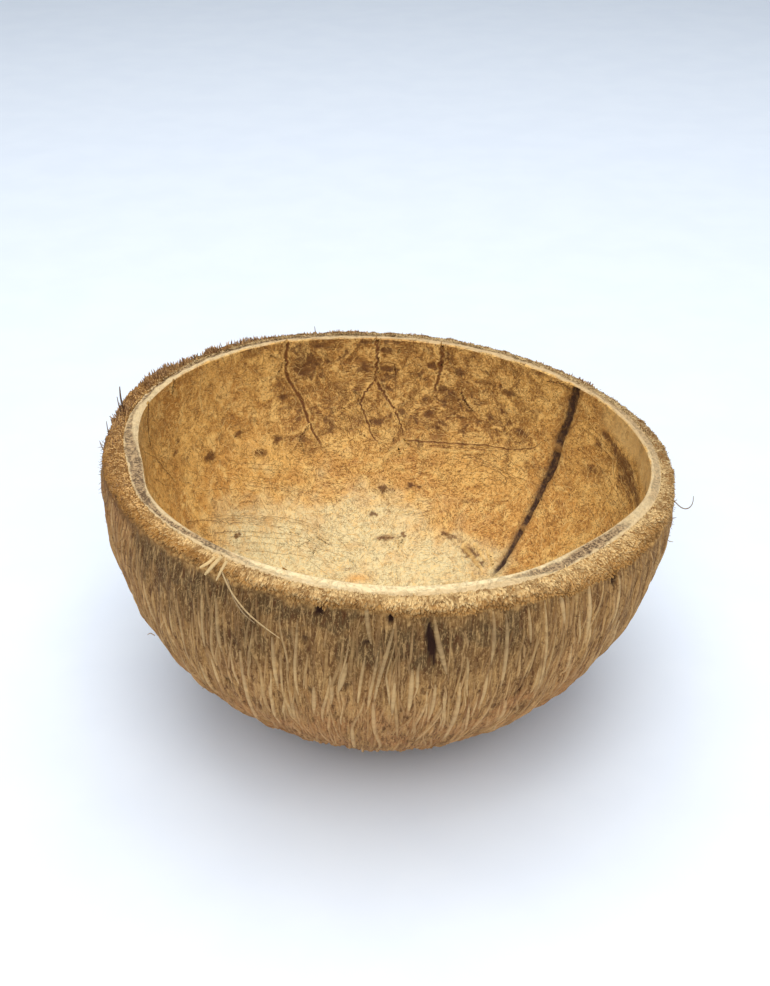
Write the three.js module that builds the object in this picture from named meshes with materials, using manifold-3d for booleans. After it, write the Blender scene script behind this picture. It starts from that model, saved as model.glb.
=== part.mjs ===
// A dried and emptied coconut, cut crosswise and standing open side up like a bowl.
// Two layers grew together and both show at the cut: the fibrous husk and the hard shell.
//
// Millimetres, +Z up. The origin is the middle of the flat spot that the half stands on.
// "turn" is the angle around Z, starting at +X. "sweep" is the angle up from the lowest
// point of a layer, so that a quarter turn of sweep reaches the cut edge.
import * as THREE from 'three';
import { mergeVertices } from 'three/addons/utils/BufferGeometryUtils.js';
import Module from 'manifold-3d';

const FULL_TURN = 2 * Math.PI;
const QUARTER_TURN = Math.PI / 2;

// The nut
const bodyRadius = 65;
const centreHeight = 63.9;
const bodyCorner = 0.5;
const hollowRadius = 58.9;
const cornerTurn = THREE.MathUtils.degToRad(12);
const hollowBottom = 8.4;
const shellThickness = 2.8;
const layerGap = 0.3;

// The cut edge, which a saw left a little askew: its inner radius and its height above the
// floor at every fifteen degrees of turn
const mouthRadii = [
  60.5, 60.6, 60.0, 58.7, 58.1, 58.3, 58.6, 59.4, 60.2, 60.4, 60.1, 59.0,
  56.7, 55.4, 57.4, 58.3, 59.1, 59.4, 59.1, 57.8, 56.5, 55.1, 56.3, 59.1,
];
const rimHeights = [
  64.3, 64.9, 65.8, 66.8, 67.7, 68.5, 69.1, 69.8, 70.6, 70.9, 71.1, 71.2,
  71.5, 71.9, 72.0, 72.0, 71.6, 70.7, 69.4, 68.0, 66.5, 65.2, 64.4, 64.1,
];
const rimFall = 0.35;
const chamferFall = 1.9;
const shoulderSwell = 0.8;

// The strands that stand out of the husk
const strandColumns = 400;
const strandRows = 11;
const strandLow = 0.25;
const strandHigh = 0.95;
const furrowDepth = 0.25;
const pitShare = 0.02;
const pitDepth = 0.9;
const endRaggedness = 0.7;
const bareRows = 1.5;
const upperRow = 5;
const middleRow = 2;
const looseAcross = 0.25;
const looseAlong = 0.2;
const shoulderPlace = 0.35;
const lipPlace = 0.75;

// The meshes
const roundSegments = 72;
const hollowRows = 18;
const backRows = 9;

// The seam down the inside, where two of the nut's three carpels meet
const seamTurn = THREE.MathUtils.degToRad(38);
const seamWander = THREE.MathUtils.degToRad(0.8);
const seamEndSweep = THREE.MathUtils.degToRad(35);
const seamToolRadius = 1.3;
const seamDepth = 0.45;
const seamRunOut = 2;
const seamSteps = 14;

// A small repeatable random number source between 0 and 1
function makeRandom(seed) {
  let state = seed;
  return () => {
    state = (state * 1664525 + 1013904223) % 4294967296;
    return state / 4294967296;
  };
}

const random = makeRandom(31);

function randomOffset(most) {
  return most * (2 * random() - 1);
}

// How far a coconut bulges over its three corners at this turn, from -1 to 1
function threeCorners(turn) {
  return Math.cos(3 * (turn - cornerTurn));
}

// A smooth closed curve through values that stand evenly around the nut
function smoothAround(values, turn) {
  const place = THREE.MathUtils.euclideanModulo(turn / FULL_TURN, 1) * values.length;
  const index = Math.floor(place);
  const valueAt = (step) => values[(index + step + values.length) % values.length];
  const inSlope = (valueAt(1) - valueAt(-1)) / 2;
  const outSlope = (valueAt(2) - valueAt(0)) / 2;
  const rise = valueAt(1) - valueAt(0);
  const t = place - index;
  const bend = 3 * rise - 2 * inSlope - outSlope;
  const turnBack = inSlope + outSlope - 2 * rise;
  return valueAt(0) + inSlope * t + bend * t ** 2 + turnBack * t ** 3;
}

function mouthRadiusAt(turn) {
  return smoothAround(mouthRadii, turn);
}

function rimHeightAt(turn) {
  return smoothAround(rimHeights, turn);
}

// The cut edge of the shell falls outwards, most of all towards -Y
function rimFallAt(turn) {
  return rimFall * (1 - Math.sin(turn));
}

// A point on the hollow's wall, or on a layer this deep behind it
function layerPoint(turn, sweep, depth) {
  const squareness = Math.sin(sweep) ** 2;
  const mouth = hollowRadius + (mouthRadiusAt(turn) - hollowRadius) * squareness;
  const radius = (mouth + depth) * Math.sin(sweep);
  const top = rimHeightAt(turn) - rimFallAt(turn) * (depth > 0 ? 1 : 0);
  const height = top - (top - hollowBottom + depth) * Math.cos(sweep);
  return new THREE.Vector3(radius * Math.cos(turn), radius * Math.sin(turn), height);
}

// A point on the round outside, at this angle up from straight down, raised by a strand
function bodyPoint(turn, polar, raised) {
  const corner = bodyCorner * threeCorners(turn) * Math.sin(polar) ** 2;
  const radius = bodyRadius + corner + raised;
  const level = radius * Math.sin(polar);
  const height = centreHeight - radius * Math.cos(polar);
  return new THREE.Vector3(level * Math.cos(turn), level * Math.sin(turn), height);
}

const footPolar = Math.acos(centreHeight / bodyRadius);

function creasePolarAt(turn) {
  const height = rimHeightAt(turn) - rimFallAt(turn) - chamferFall;
  return Math.acos((centreHeight - height) / bodyRadius);
}

// A solid is built as rings of points, each ring stitched to the one before it
function startSolid() {
  return { points: [], faces: [] };
}

function addPoint(solid, point) {
  solid.points.push(point.x, point.y, point.z);
  return solid.points.length / 3 - 1;
}

function addRing(solid, turns, pointAt) {
  return turns.map((turn, index) => ({ turn, id: addPoint(solid, pointAt(turn, index)) }));
}

function evenTurns(count) {
  return Array.from({ length: count }, (_, index) => (index / count) * FULL_TURN);
}

// Rows of strands are set half a column aside in turn, each point a little out of place
function strandTurns(count, row) {
  const aside = row % 2 === 0 ? 0 : 0.5;
  const place = (index) => index + aside + randomOffset(looseAcross);
  return Array.from({ length: count }, (_, index) => (place(index) / count) * FULL_TURN);
}

function stitch(solid, lower, upper) {
  const turnOf = (ring, step) => ring[step % ring.length].turn + Math.floor(step / ring.length) * FULL_TURN;
  const idOf = (ring, step) => ring[step % ring.length].id;
  let low = 0;
  let high = 0;
  while (low < lower.length || high < upper.length) {
    const lowNext = low < lower.length ? turnOf(lower, low + 1) : Infinity;
    const highNext = high < upper.length ? turnOf(upper, high + 1) : Infinity;
    if (lowNext < highNext) {
      solid.faces.push(idOf(lower, low), idOf(lower, low + 1), idOf(upper, high));
      low += 1;
    } else {
      solid.faces.push(idOf(lower, low), idOf(upper, high + 1), idOf(upper, high));
      high += 1;
    }
  }
}

function stitchAll(solid, rings) {
  rings.slice(1).forEach((ring, index) => stitch(solid, rings[index], ring));
}

function closeRing(solid, ring, point, facingUp) {
  const middle = addPoint(solid, point);
  ring.forEach((here, index) => {
    const next = ring[(index + 1) % ring.length];
    const [first, second] = facingUp ? [here, next] : [next, here];
    solid.faces.push(middle, first.id, second.id);
  });
}

function toGeometry(solid) {
  const geometry = new THREE.BufferGeometry();
  geometry.setAttribute('position', new THREE.Float32BufferAttribute(solid.points, 3));
  geometry.setIndex(solid.faces);
  geometry.computeVertexNormals();
  return geometry;
}

// Every third point of a row is the crest of a strand and the two between lie in furrows
function strandHeight(row, index) {
  const isCrest = (index + (row % 2) * 2) % 3 === 0;
  if (isCrest) return strandLow + (strandHigh - strandLow) * random();
  return random() < pitShare ? -pitDepth : -furrowDepth * random();
}

// Fewer strands fit around the nut the nearer a row is to the foot
function columnsAt(row) {
  if (row >= upperRow) return strandColumns;
  return row >= middleRow ? strandColumns / 2 : strandColumns / 4;
}

function addFootRing(solid) {
  const radius = bodyRadius * Math.sin(footPolar);
  const onFloor = (turn) => new THREE.Vector3(radius * Math.cos(turn), radius * Math.sin(turn), 0);
  return addRing(solid, evenTurns(columnsAt(0)), onFloor);
}

function addStrandRow(solid, row) {
  const relief = Math.min(1, row / bareRows);
  return addRing(solid, strandTurns(columnsAt(row), row), (turn, index) => {
    const along = (row + randomOffset(looseAlong)) / strandRows;
    const polar = footPolar + (creasePolarAt(turn) - footPolar) * along;
    return bodyPoint(turn, polar, relief * strandHeight(row, index));
  });
}

// The frayed slope between the crease and the shell, "along" it from 0 to 1
function addChamferRing(solid, count, row, along) {
  return addRing(solid, strandTurns(count, row), (turn) => {
    const crease = bodyPoint(turn, creasePolarAt(turn), 0);
    const edge = layerPoint(turn, QUARTER_TURN, shellThickness + layerGap);
    const point = crease.lerp(edge, along);
    const swell = shoulderSwell * Math.sin(along * Math.PI) + randomOffset(endRaggedness / 2);
    point.x += swell * Math.cos(turn);
    point.y += swell * Math.sin(turn);
    point.z += swell;
    return point;
  });
}

function addLayerRings(solid, depth, rows, goingUp) {
  const steps = Array.from({ length: rows }, (_, index) => (index + 1) / rows);
  if (!goingUp) steps.reverse();
  return steps.map((step) => {
    const sweep = step * QUARTER_TURN;
    return addRing(solid, evenTurns(roundSegments), (turn) => layerPoint(turn, sweep, depth));
  });
}

function buildHusk() {
  const solid = startSolid();
  const depth = shellThickness + layerGap;
  const rings = [addFootRing(solid)];
  for (let row = 1; row <= strandRows; row += 1) rings.push(addStrandRow(solid, row));
  rings.push(addChamferRing(solid, strandColumns, strandRows + 1, shoulderPlace));
  rings.push(addChamferRing(solid, strandColumns / 2, strandRows + 2, lipPlace));
  rings.push(...addLayerRings(solid, depth, backRows, false));
  stitchAll(solid, rings);
  closeRing(solid, rings[0], new THREE.Vector3(0, 0, 0), false);
  closeRing(solid, rings.at(-1), layerPoint(0, 0, depth), true);
  return toGeometry(solid);
}

function buildShellBowl() {
  const solid = startSolid();
  const outside = addLayerRings(solid, shellThickness, backRows, true);
  const inside = addLayerRings(solid, 0, hollowRows, false);
  const rings = [...outside, ...inside];
  stitchAll(solid, rings);
  closeRing(solid, rings[0], layerPoint(0, 0, shellThickness), false);
  closeRing(solid, rings.at(-1), layerPoint(0, 0, 0), true);
  return toGeometry(solid);
}

// The seam's tool runs down the wall, sunk into it, and rises clear of it at its lower end
function seamPath() {
  const points = [];
  for (let step = 0; step <= seamSteps; step += 1) {
    const along = step / seamSteps;
    const sweep = QUARTER_TURN + (seamEndSweep - QUARTER_TURN) * along;
    const turn = seamTurn + seamWander * Math.sin(along * FULL_TURN);
    const rise = step === seamSteps ? seamToolRadius + layerGap : seamToolRadius - seamDepth;
    points.push(layerPoint(turn, sweep, -rise));
  }
  const top = points[0].clone();
  top.z += seamRunOut;
  return new THREE.CatmullRomCurve3([top, ...points]);
}

function buildSeamTool() {
  const section = new THREE.Shape();
  section.absarc(0, 0, seamToolRadius, 0, FULL_TURN);
  return new THREE.ExtrudeGeometry(section, {
    extrudePath: seamPath(),
    steps: 2 * seamSteps,
    curveSegments: 5,
    bevelEnabled: false,
  });
}

const wasm = await Module();
wasm.setup();

function toManifold(geometry) {
  const bare = geometry.clone();
  bare.deleteAttribute('normal');
  bare.deleteAttribute('uv');
  const merged = mergeVertices(bare);
  return new wasm.Manifold(new wasm.Mesh({
    numProp: 3,
    vertProperties: new Float32Array(merged.attributes.position.array),
    triVerts: new Uint32Array(merged.index.array),
  }));
}

function fromManifold(manifold) {
  const mesh = manifold.getMesh();
  const geometry = new THREE.BufferGeometry();
  geometry.setAttribute('position', new THREE.BufferAttribute(mesh.vertProperties, 3));
  geometry.setIndex(new THREE.BufferAttribute(mesh.triVerts, 1));
  geometry.computeVertexNormals();
  return geometry;
}

function buildShell() {
  const bowl = toManifold(buildShellBowl());
  return fromManifold(bowl.subtract(toManifold(buildSeamTool())));
}

function namedMesh(name, geometry, color, roughness) {
  const material = new THREE.MeshStandardMaterial({ color, roughness, metalness: 0 });
  const mesh = new THREE.Mesh(geometry, material);
  mesh.name = name;
  return mesh;
}

const coconutHalf = new THREE.Group();
coconutHalf.add(namedMesh('husk', buildHusk(), '#8f6c41', 0.92));
coconutHalf.add(namedMesh('shell', buildShell(), '#b98d50', 0.5));

export default coconutHalf;
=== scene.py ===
import math

import bpy
import numpy as np
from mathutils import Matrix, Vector


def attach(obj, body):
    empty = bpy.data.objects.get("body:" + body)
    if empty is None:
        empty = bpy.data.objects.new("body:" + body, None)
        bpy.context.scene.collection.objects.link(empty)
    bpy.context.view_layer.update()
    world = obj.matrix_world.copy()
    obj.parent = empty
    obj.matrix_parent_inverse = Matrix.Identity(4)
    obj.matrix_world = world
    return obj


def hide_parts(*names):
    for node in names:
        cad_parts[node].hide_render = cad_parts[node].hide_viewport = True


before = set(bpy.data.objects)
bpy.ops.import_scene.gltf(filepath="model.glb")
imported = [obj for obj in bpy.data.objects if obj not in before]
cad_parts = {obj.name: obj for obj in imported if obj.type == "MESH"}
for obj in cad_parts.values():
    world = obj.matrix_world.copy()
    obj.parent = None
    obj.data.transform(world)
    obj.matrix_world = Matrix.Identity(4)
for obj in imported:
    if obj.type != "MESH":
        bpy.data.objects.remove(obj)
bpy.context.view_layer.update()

mm = 0.001
fullTurn = 2 * math.pi
quarterTurn = math.pi / 2

# the nut in millimetres and degrees, as the solids have it but for its last three values
nut = {
    "bodyRadius": 65.0,
    "centreHeight": 63.9,
    "bodyCorner": 0.5,        # the outside bulges over the three corners
    "hollowRadius": 58.9,
    "cornerTurn": 12.0,
    "hollowBottom": 8.4,
    "shellThickness": 2.8,
    "layerGap": 0.3,
    "rimFall": 0.35,
    "chamferFall": 1.9,
    # inner radius and height of the cut edge at every fifteen degrees of turn
    "mouthRadii": [
        60.5, 60.6, 60.0, 58.7, 58.1, 58.3, 58.6, 59.4, 60.2, 60.4, 60.1, 59.0,
        56.7, 55.4, 57.4, 58.3, 59.1, 59.4, 59.1, 57.8, 56.5, 55.1, 56.3, 59.1],
    "rimHeights": [
        64.3, 64.9, 65.8, 66.8, 67.7, 68.5, 69.1, 69.8, 70.6, 70.9, 71.1, 71.2,
        71.5, 71.9, 72.0, 72.0, 71.6, 70.7, 69.4, 68.0, 66.5, 65.2, 64.4, 64.1],
    # the shell's edge against its usual thickness, at the same turns
    "edgeWidths": [
        0.84, 0.88, 0.92, 0.95, 1.0, 1.0, 1.0, 1.02, 1.08, 1.08, 1.06, 1.06,
        1.22, 1.24, 0.94, 0.82, 0.84, 1.02, 1.06, 1.08, 1.2, 1.26, 1.14, 0.94],
    # the fibres run down to a pole that lies this far from the foot
    "fibrePoleTilt": 11.5,
    "fibrePoleTurn": 105.0,
}
footPolar = math.acos(nut["centreHeight"] / nut["bodyRadius"])


# a smooth closed curve through values that stand evenly around the nut
def smoothAround(values, turn):
    values = np.asarray(values)
    place = turn / fullTurn % 1.0 * len(values)
    first = np.floor(place).astype(int)
    t = place - first
    before, here, following, after = (values[(first + step) % len(values)] for step in (-1, 0, 1, 2))
    inSlope = (following - before) / 2
    outSlope = (after - here) / 2
    rise = following - here
    bend = 3 * rise - 2 * inSlope - outSlope
    return here + inSlope * t + bend * t ** 2 + (inSlope + outSlope - 2 * rise) * t ** 3


def rimHeightAt(turn):
    return smoothAround(nut["rimHeights"], turn)


def rimFallAt(turn):
    return nut["rimFall"] * (1 - np.sin(turn))


# how thick the shell's edge shows
def edgeWidthAt(turn):
    return nut["shellThickness"] * smoothAround(nut["edgeWidths"], turn)


def around(turn, level, height):
    turn, level, height = np.broadcast_arrays(turn, level, height)
    return np.stack([level * np.cos(turn), level * np.sin(turn), height], -1)


# a point on the hollow's wall, or that deep behind it; fall is how far the rim has dropped there
def wallPoint(turn, sweep, depth=0.0, fall=0.0):
    widening = smoothAround(nut["mouthRadii"], turn) - nut["hollowRadius"]
    mouth = nut["hollowRadius"] + widening * np.sin(sweep) ** 2
    top = rimHeightAt(turn) - rimFallAt(turn) * fall
    height = top - (top - nut["hollowBottom"] + depth) * np.cos(sweep)
    return around(turn, (mouth + depth) * np.sin(sweep), height)


def wallNormal(turn, sweep):
    return -around(turn, np.sin(sweep), -np.cos(sweep))


def bodyPoint(turn, polar, raised=0.0):
    corners = np.cos(3 * (turn - math.radians(nut["cornerTurn"])))
    radius = nut["bodyRadius"] + nut["bodyCorner"] * corners * np.sin(polar) ** 2 + raised
    return around(turn, radius * np.sin(polar), nut["centreHeight"] - radius * np.cos(polar))


def bodyNormal(turn, polar):
    return around(turn, np.sin(polar), -np.cos(polar))


# where the frayed slope meets the outside
def creasePolarAt(turn):
    height = rimHeightAt(turn) - rimFallAt(turn) - nut["chamferFall"]
    return np.arccos((nut["centreHeight"] - height) / nut["bodyRadius"])


def poleMatrix():
    tilt = math.radians(nut["fibrePoleTilt"])
    turn = math.radians(nut["fibrePoleTurn"])
    x, y = math.sin(turn), -math.cos(turn)
    cross = np.array([[0, 0, y], [0, 0, -x], [-y, x, 0]])
    return np.eye(3) + math.sin(tilt) * cross + (1 - math.cos(tilt)) * cross @ cross


def anglesOf(directions):
    x, y, z = np.moveaxis(directions, -1, 0)
    return np.arctan2(y, x) % fullTurn, np.arccos(np.clip(-z, -1, 1))


# the same place counted around the fibres' own pole, and back again
def toFibre(turn, polar):
    return anglesOf(bodyNormal(turn, polar) @ poleMatrix())


def fromFibre(turn, polar):
    return anglesOf(bodyNormal(turn, polar) @ poleMatrix().T)


def ease(t):
    return t * t * (3 - 2 * t)


def smoothStep(low, high, value):
    return ease(np.clip((value - low) / (high - low), 0, 1))


# how far turn lies from another turn, the short way round, in radians
def turnGap(turn, other):
    return (turn - other + math.pi) % fullTurn - math.pi


# 1 between two turns, given in degrees, with soft ends
def between(turn, first, last, soft):
    half = (last - first) / 2
    away = np.degrees(np.abs(turnGap(turn, math.radians((first + last) / 2))))
    return smoothStep(half + soft, half - soft, away)


# several such stretches put together, each a strength, two turns and how soft its ends are
def stretches(turn, rows, join=np.add):
    return join.reduce([strength * between(turn, *row) for strength, *row in rows])


# smooth noise on a lattice that closes on itself around the nut, added up over its kinds,
# each a height, cells round the nut, cells along it and a seed
def latticeNoise(turn, along, *kinds):
    total = 0.0
    for height, cellsRound, cellsAlong, seed in kinds:
        lattice = np.random.default_rng(seed).uniform(-1, 1, (cellsAlong + 3, cellsRound))
        u = turn / fullTurn % 1.0 * cellsRound
        v = np.clip(along, 0, 1) * cellsAlong
        left, low = np.floor(u).astype(int), np.floor(v).astype(int)
        across, up = ease(u - left), ease(v - low)
        left, right = left % cellsRound, (left + 1) % cellsRound
        under = lattice[low, left] * (1 - across) + lattice[low, right] * across
        over = lattice[low + 1, left] * (1 - across) + lattice[low + 1, right] * across
        total = total + (under * (1 - up) + over * up) * height
    return total


def unit(vectors):
    return vectors / (np.linalg.norm(vectors, axis=-1, keepdims=True) + 1e-9)


# meshes from arrays; points come in millimetres
def gridQuads(rows, columns, closed=True):
    steps = np.arange(columns if closed else columns - 1)
    a = np.arange(rows - 1)[:, None] * columns + steps
    b = np.arange(rows - 1)[:, None] * columns + (steps + 1) % columns
    return np.stack([a, b, b + columns, a + columns], -1).reshape(-1, 4)


# the same small patch of faces again and again, each on its own run of points
def repeated(faces, count, pointsEach):
    firsts = np.arange(count)[:, None, None] * pointsEach
    return (faces + firsts).reshape(-1, faces.shape[1])


def makeMesh(name, points, quads, triangles=None, numbers=None, vectors=None):
    triangles = np.zeros((0, 3), int) if triangles is None else triangles
    corners = np.concatenate([quads.ravel(), triangles.ravel()]).astype(np.int32)
    sizes = np.repeat([4, 3], [len(quads), len(triangles)]).astype(np.int32)
    mesh = bpy.data.meshes.new(name)
    mesh.vertices.add(len(points))
    mesh.vertices.foreach_set("co", (points * mm).astype(np.float32).ravel())
    mesh.loops.add(len(corners))
    mesh.loops.foreach_set("vertex_index", corners)
    mesh.polygons.add(len(sizes))
    mesh.polygons.foreach_set("loop_start", (np.cumsum(sizes) - sizes).astype(np.int32))
    mesh.polygons.foreach_set("loop_total", sizes)
    mesh.update(calc_edges=True)
    mesh.shade_smooth()
    for kind, field, layers in (("FLOAT", "value", numbers), ("FLOAT_VECTOR", "vector", vectors)):
        for key, values in (layers or {}).items():
            layer = mesh.attributes.new(key, kind, "POINT")
            layer.data.foreach_set(field, np.asarray(values, np.float32).ravel())
    mesh.validate()
    piece = bpy.data.objects.new(name, mesh)
    bpy.context.scene.collection.objects.link(piece)
    return piece


# a closed bowl from rings of points, with one more point in the middle of the first and of the last ring
def makeBowl(name, rings, middles, numbers, grain=None, middleValues=None):
    rows, columns = rings.shape[:2]
    points = np.concatenate([rings.reshape(-1, 3), *middles])
    ring = np.arange(columns)
    following = np.roll(ring, -1)
    last = (rows - 1) * columns
    fans = [np.stack([np.full(columns, len(points) - 2), following, ring], -1),
            np.stack([np.full(columns, len(points) - 1), ring + last, following + last], -1)]
    values = middleValues or {}
    numbers = {key: np.append(field.ravel(), values.get(key, (0, 0))) for key, field in numbers.items()}
    vectors = None if grain is None else {"grain": np.concatenate([grain.reshape(-1, 3), np.zeros((2, 3))])}
    return makeMesh(name, points, gridQuads(rows, columns), np.concatenate(fans), numbers, vectors)


# cross sections of a strip: how far across, how far up, how deep sunk, and the mark its shader reads
flatCrown = [(-1, 0, 0.25, 0), (-0.45, 1, 0, 1), (0.45, 1, 0, 1), (1, 0, 0.25, 0)]
sharpCrown = [(-1, 0, 0.12, 0), (0, 1, 0, 1), (1, 0, 0.12, 0)]
# grooved: the negative marks on its two ridges are painted as highlight
grooved = [(-1, 0, 0.06, 0), (-0.62, 1, 0, -0.6), (-0.22, 0.15, 0, 1),
           (0.22, 0.15, 0, 1), (0.62, 1, 0, -0.6), (1, 0, 0.06, 0)]


# many slender strips lying on a surface, all with the same cross section
def layStrips(name, centres, normals, widths, heights, section, numbers, vectors=None):
    count, steps = centres.shape[:2]
    wide = len(section)
    half = unit(np.cross(normals, np.gradient(centres, axis=1))) * (widths / 2)[..., None]
    lines = [centres + half * across + normals * (heights[..., None] * up - sunk)
             for across, up, sunk, _ in section]
    strip = gridQuads(steps, wide, closed=False)[:, ::-1]
    spread = {key: np.repeat(np.broadcast_to(v, (count, steps)).ravel(), wide) for key, v in numbers.items()}
    spread["mark"] = np.tile([mark for *_, mark in section], count * steps) * spread.pop("ends", 1)
    broad = {key: np.repeat(v.reshape(-1, 3), wide, 0) for key, v in (vectors or {}).items()}
    points = np.stack(lines, 2).reshape(-1, 3)
    return makeMesh(name, points, repeated(strip, count, steps * wide), None, spread, broad)


# a spike has three sides: how far along it each ring of corners stands, and how thick it is there
spikeRings = [(0.0, 1.0), (0.7, 0.85)]
spikeSides = np.array([[0, 1, 4, 3], [1, 2, 5, 4], [2, 0, 3, 5]])
spikeTip = np.array([[3, 4, 6], [4, 5, 6], [5, 3, 6]])
spikePoints = 7


# many short spikes, each from its root along its own direction
def plantSpikes(name, roots, directions, lengths, radii, droop, numbers):
    count = len(roots)
    droop = np.array([0, 0, droop])
    upright = np.abs(directions[:, 2:3]) >= 0.9
    sideA = unit(np.cross(directions, np.where(upright, [[1, 0, 0]], [[0, 0, 1]])))
    sideB = np.cross(directions, sideA)
    points = np.zeros((count, spikePoints, 3))
    for level, (place, size) in enumerate(spikeRings):
        middle = roots + directions * (lengths * place)[:, None] + droop * place ** 2
        for corner in range(3):
            angle = corner * fullTurn / 3
            outward = sideA * math.cos(angle) + sideB * math.sin(angle)
            points[:, level * 3 + corner] = middle + outward * (radii * size)[:, None]
    points[:, 6] = roots + directions * lengths[:, None] + droop
    spread = {key: np.repeat(v, spikePoints) for key, v in numbers.items()}
    spread["tipward"] = np.tile(np.repeat([place for place, _ in spikeRings] + [1], [3, 3, 1]), count)
    quads, tips = (repeated(faces, count, spikePoints) for faces in (spikeSides, spikeTip))
    return makeMesh(name, points.reshape(-1, 3), quads, tips, spread)


def srgb(*values):
    channels = (value / 255 for value in values)
    return tuple(c / 12.92 if c <= 0.04045 else ((c + 0.055) / 1.055) ** 2.4 for c in channels)


# a material, and short names for the nodes that make it
class Kit:
    def __init__(self, name, roughness, specular=0.3):
        self.material = bpy.data.materials.new(name)
        self.material.use_nodes = True
        self.nodes = self.material.node_tree.nodes
        self.links = self.material.node_tree.links
        self.nodes.clear()
        self.shader = self.nodes.new("ShaderNodeBsdfPrincipled")
        self.shader.inputs["Roughness"].default_value = roughness
        self.shader.inputs["Specular IOR Level"].default_value = specular
        output = self.nodes.new("ShaderNodeOutputMaterial")
        self.links.new(self.shader.outputs["BSDF"], output.inputs["Surface"])

    def link(self, source, socket):
        if isinstance(source, (int, float)):
            socket.default_value = source
        elif isinstance(source, tuple):
            socket.default_value = (*source, 1.0) if len(socket.default_value) == 4 else source
        else:
            self.links.new(source, socket)

    # a new node with its sockets filled; gives the output that is asked for
    def node(self, kind, output, sockets, **settings):
        node = self.nodes.new("ShaderNode" + kind)
        for key, value in settings.items():
            setattr(node, key, value)
        for key, value in sockets.items():
            self.link(value, node.inputs[key])
        return node.outputs[output]

    def read(self, key, output="Fac"):
        return self.node("Attribute", output, {}, attribute_name=key)

    def place(self):
        return self.node("TexCoord", "Object", {})

    def stretch(self, source, scale, turned=(0, 0, 0)):
        return self.node("Mapping", "Vector", {"Vector": source, "Scale": scale, "Rotation": turned})

    def noise(self, source, scale, detail=3.0, roughness=0.5, distortion=0.0):
        sockets = {"Vector": source, "Scale": scale, "Detail": detail}
        return self.node("TexNoise", "Fac", sockets | {"Roughness": roughness, "Distortion": distortion})

    def math(self, operation, a, b=0.0, clamp=False):
        return self.node("Math", 0, {0: a, 1: b}, operation=operation, use_clamp=clamp)

    def times(self, a, b):
        return self.math("MULTIPLY", a, b, True)

    def fit(self, value, low, high, to0=0.0, to1=1.0):
        sockets = {"Value": value, "From Min": low, "From Max": high, "To Min": to0, "To Max": to1}
        return self.node("MapRange", "Result", sockets, interpolation_type="SMOOTHSTEP")

    def mix(self, factor, a, b):
        return self.node("Mix", "Result", {"Factor": factor, "A": a, "B": b}, data_type="RGBA")

    # one coat over another, each with how much of it shows and its colour
    def coats(self, colour, *layers):
        for amount, tint in layers:
            colour = self.mix(amount, colour, tint)
        return colour

    def bump(self, height, strength, distance, under=None):
        sockets = {"Height": height, "Strength": strength, "Distance": distance}
        if under is not None:
            sockets["Normal"] = under
        return self.node("Bump", "Normal", sockets)

    # puts colour and normal on the shader and gives the finished material
    def finish(self, colour, normal=None):
        self.link(colour, self.shader.inputs["Base Color"])
        if normal is not None:
            self.link(normal, self.shader.inputs["Normal"])
        return self.material


def dress(piece, material):
    piece.data.materials.append(material)
    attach(piece, "root")


# husk: the body under the strands
husk = {
    "columns": 700,
    "outsideRows": 104,
    "slopeRows": 12,
    "insideRows": 6,
    "innerEnd": 0.04,         # the last ring of its inside, as a share of the sweep from bottom to rim
    # relief: height in mm, cells round the nut and along it, seed
    "bundles": (0.42, 240, 12, 11),
    "swells": (0.2, 95, 8, 12),
    "lumps": (0.35, 13, 5, 13),
    "proud": 0.1,
    "fibreSpan": 2.1,         # radians from the fibres' pole to past the crease
    "poleFade": (0.12, 0.5),
    "footFade": 0.2,
    "tuck": 0.3,              # the outside dips in under the frayed slope
    "tuckLength": 3.0,
    # the frayed slope: how far it swells, clumps on it, and turns where it stands lower or higher
    "slopeSwell": 0.75,
    "slopeRagged": 0.24,
    "slopeClumps": [(1.0, 340, 4, 21), (0.3, 120, 2, 22)],
    "slopeBulges": [(-0.8, 18, 76, 12), (-0.4, 76, 122, 8), (0.9, 147, 166, 5)],
    # its gold fades just under the crease: mm below it where it ends and is full, and how ragged that is
    "frayEnd": (1.1, -0.1),
    "frayRagged": [(0.7, 200, 60, 31), (0.6, 60, 30, 32)],
    # weathered and ruddy places: strength, turns, softness, then mm below the crease where they end and
    # begin; the weathered band under the frayed slope is the husk's greyer tone darkened by painted shade
    # from the overhang
    "patches": [(0.6, 46, 22, 14), (0.4, 120, 50, 15)],
    "patchReach": 6,
    "weatheredAndShadedPlaces": [(1.0, 224, 300, 10, 24, 6), (0.55, 20, 190, 25, 30, 8), (0.9, 216, 238, 5, 17, 8)],
    "ruddyPlace": (0.7, 176, 214, 12, 45, 12),
    "ruddyPolar": (1.35, 0.9),
    # noises along the fibres for its colour: stretch, detail, roughness, distortion
    "grains": {
        "threads": ((62, 62, 7), 4, 0.6, 0.4),
        "fine": ((120, 120, 16), 3, 0.6, 0.5),
        "patches": ((9, 9, 8), 3, 0.55, 0.4),
        "gaps": ((64, 64, 30), 2, 0.5, 0.6),
        "crumbs": ((170, 170, 95), 3, 0.65, 0.5),
    },
    "golden": srgb(180, 137, 82),
    "brown": srgb(124, 86, 46),
    "darkBrown": srgb(82, 48, 20),
    "pale": srgb(204, 164, 108),
    "ruddy": srgb(184, 126, 76),
    # greyer weathered tone, darkened further as painted shade under the frayed slope
    "weatheredAndShaded": srgb(86, 65, 38),
    # dark between the fibre threads: painted shade in the gaps
    "speck": srgb(86, 50, 22),
    "gold": srgb(198, 154, 94),
    "goldDark": srgb(138, 98, 52),
    # near-black in the torn-out hollows: painted shade, darker the deeper they go
    "pitShade": srgb(50, 28, 18),
}
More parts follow.
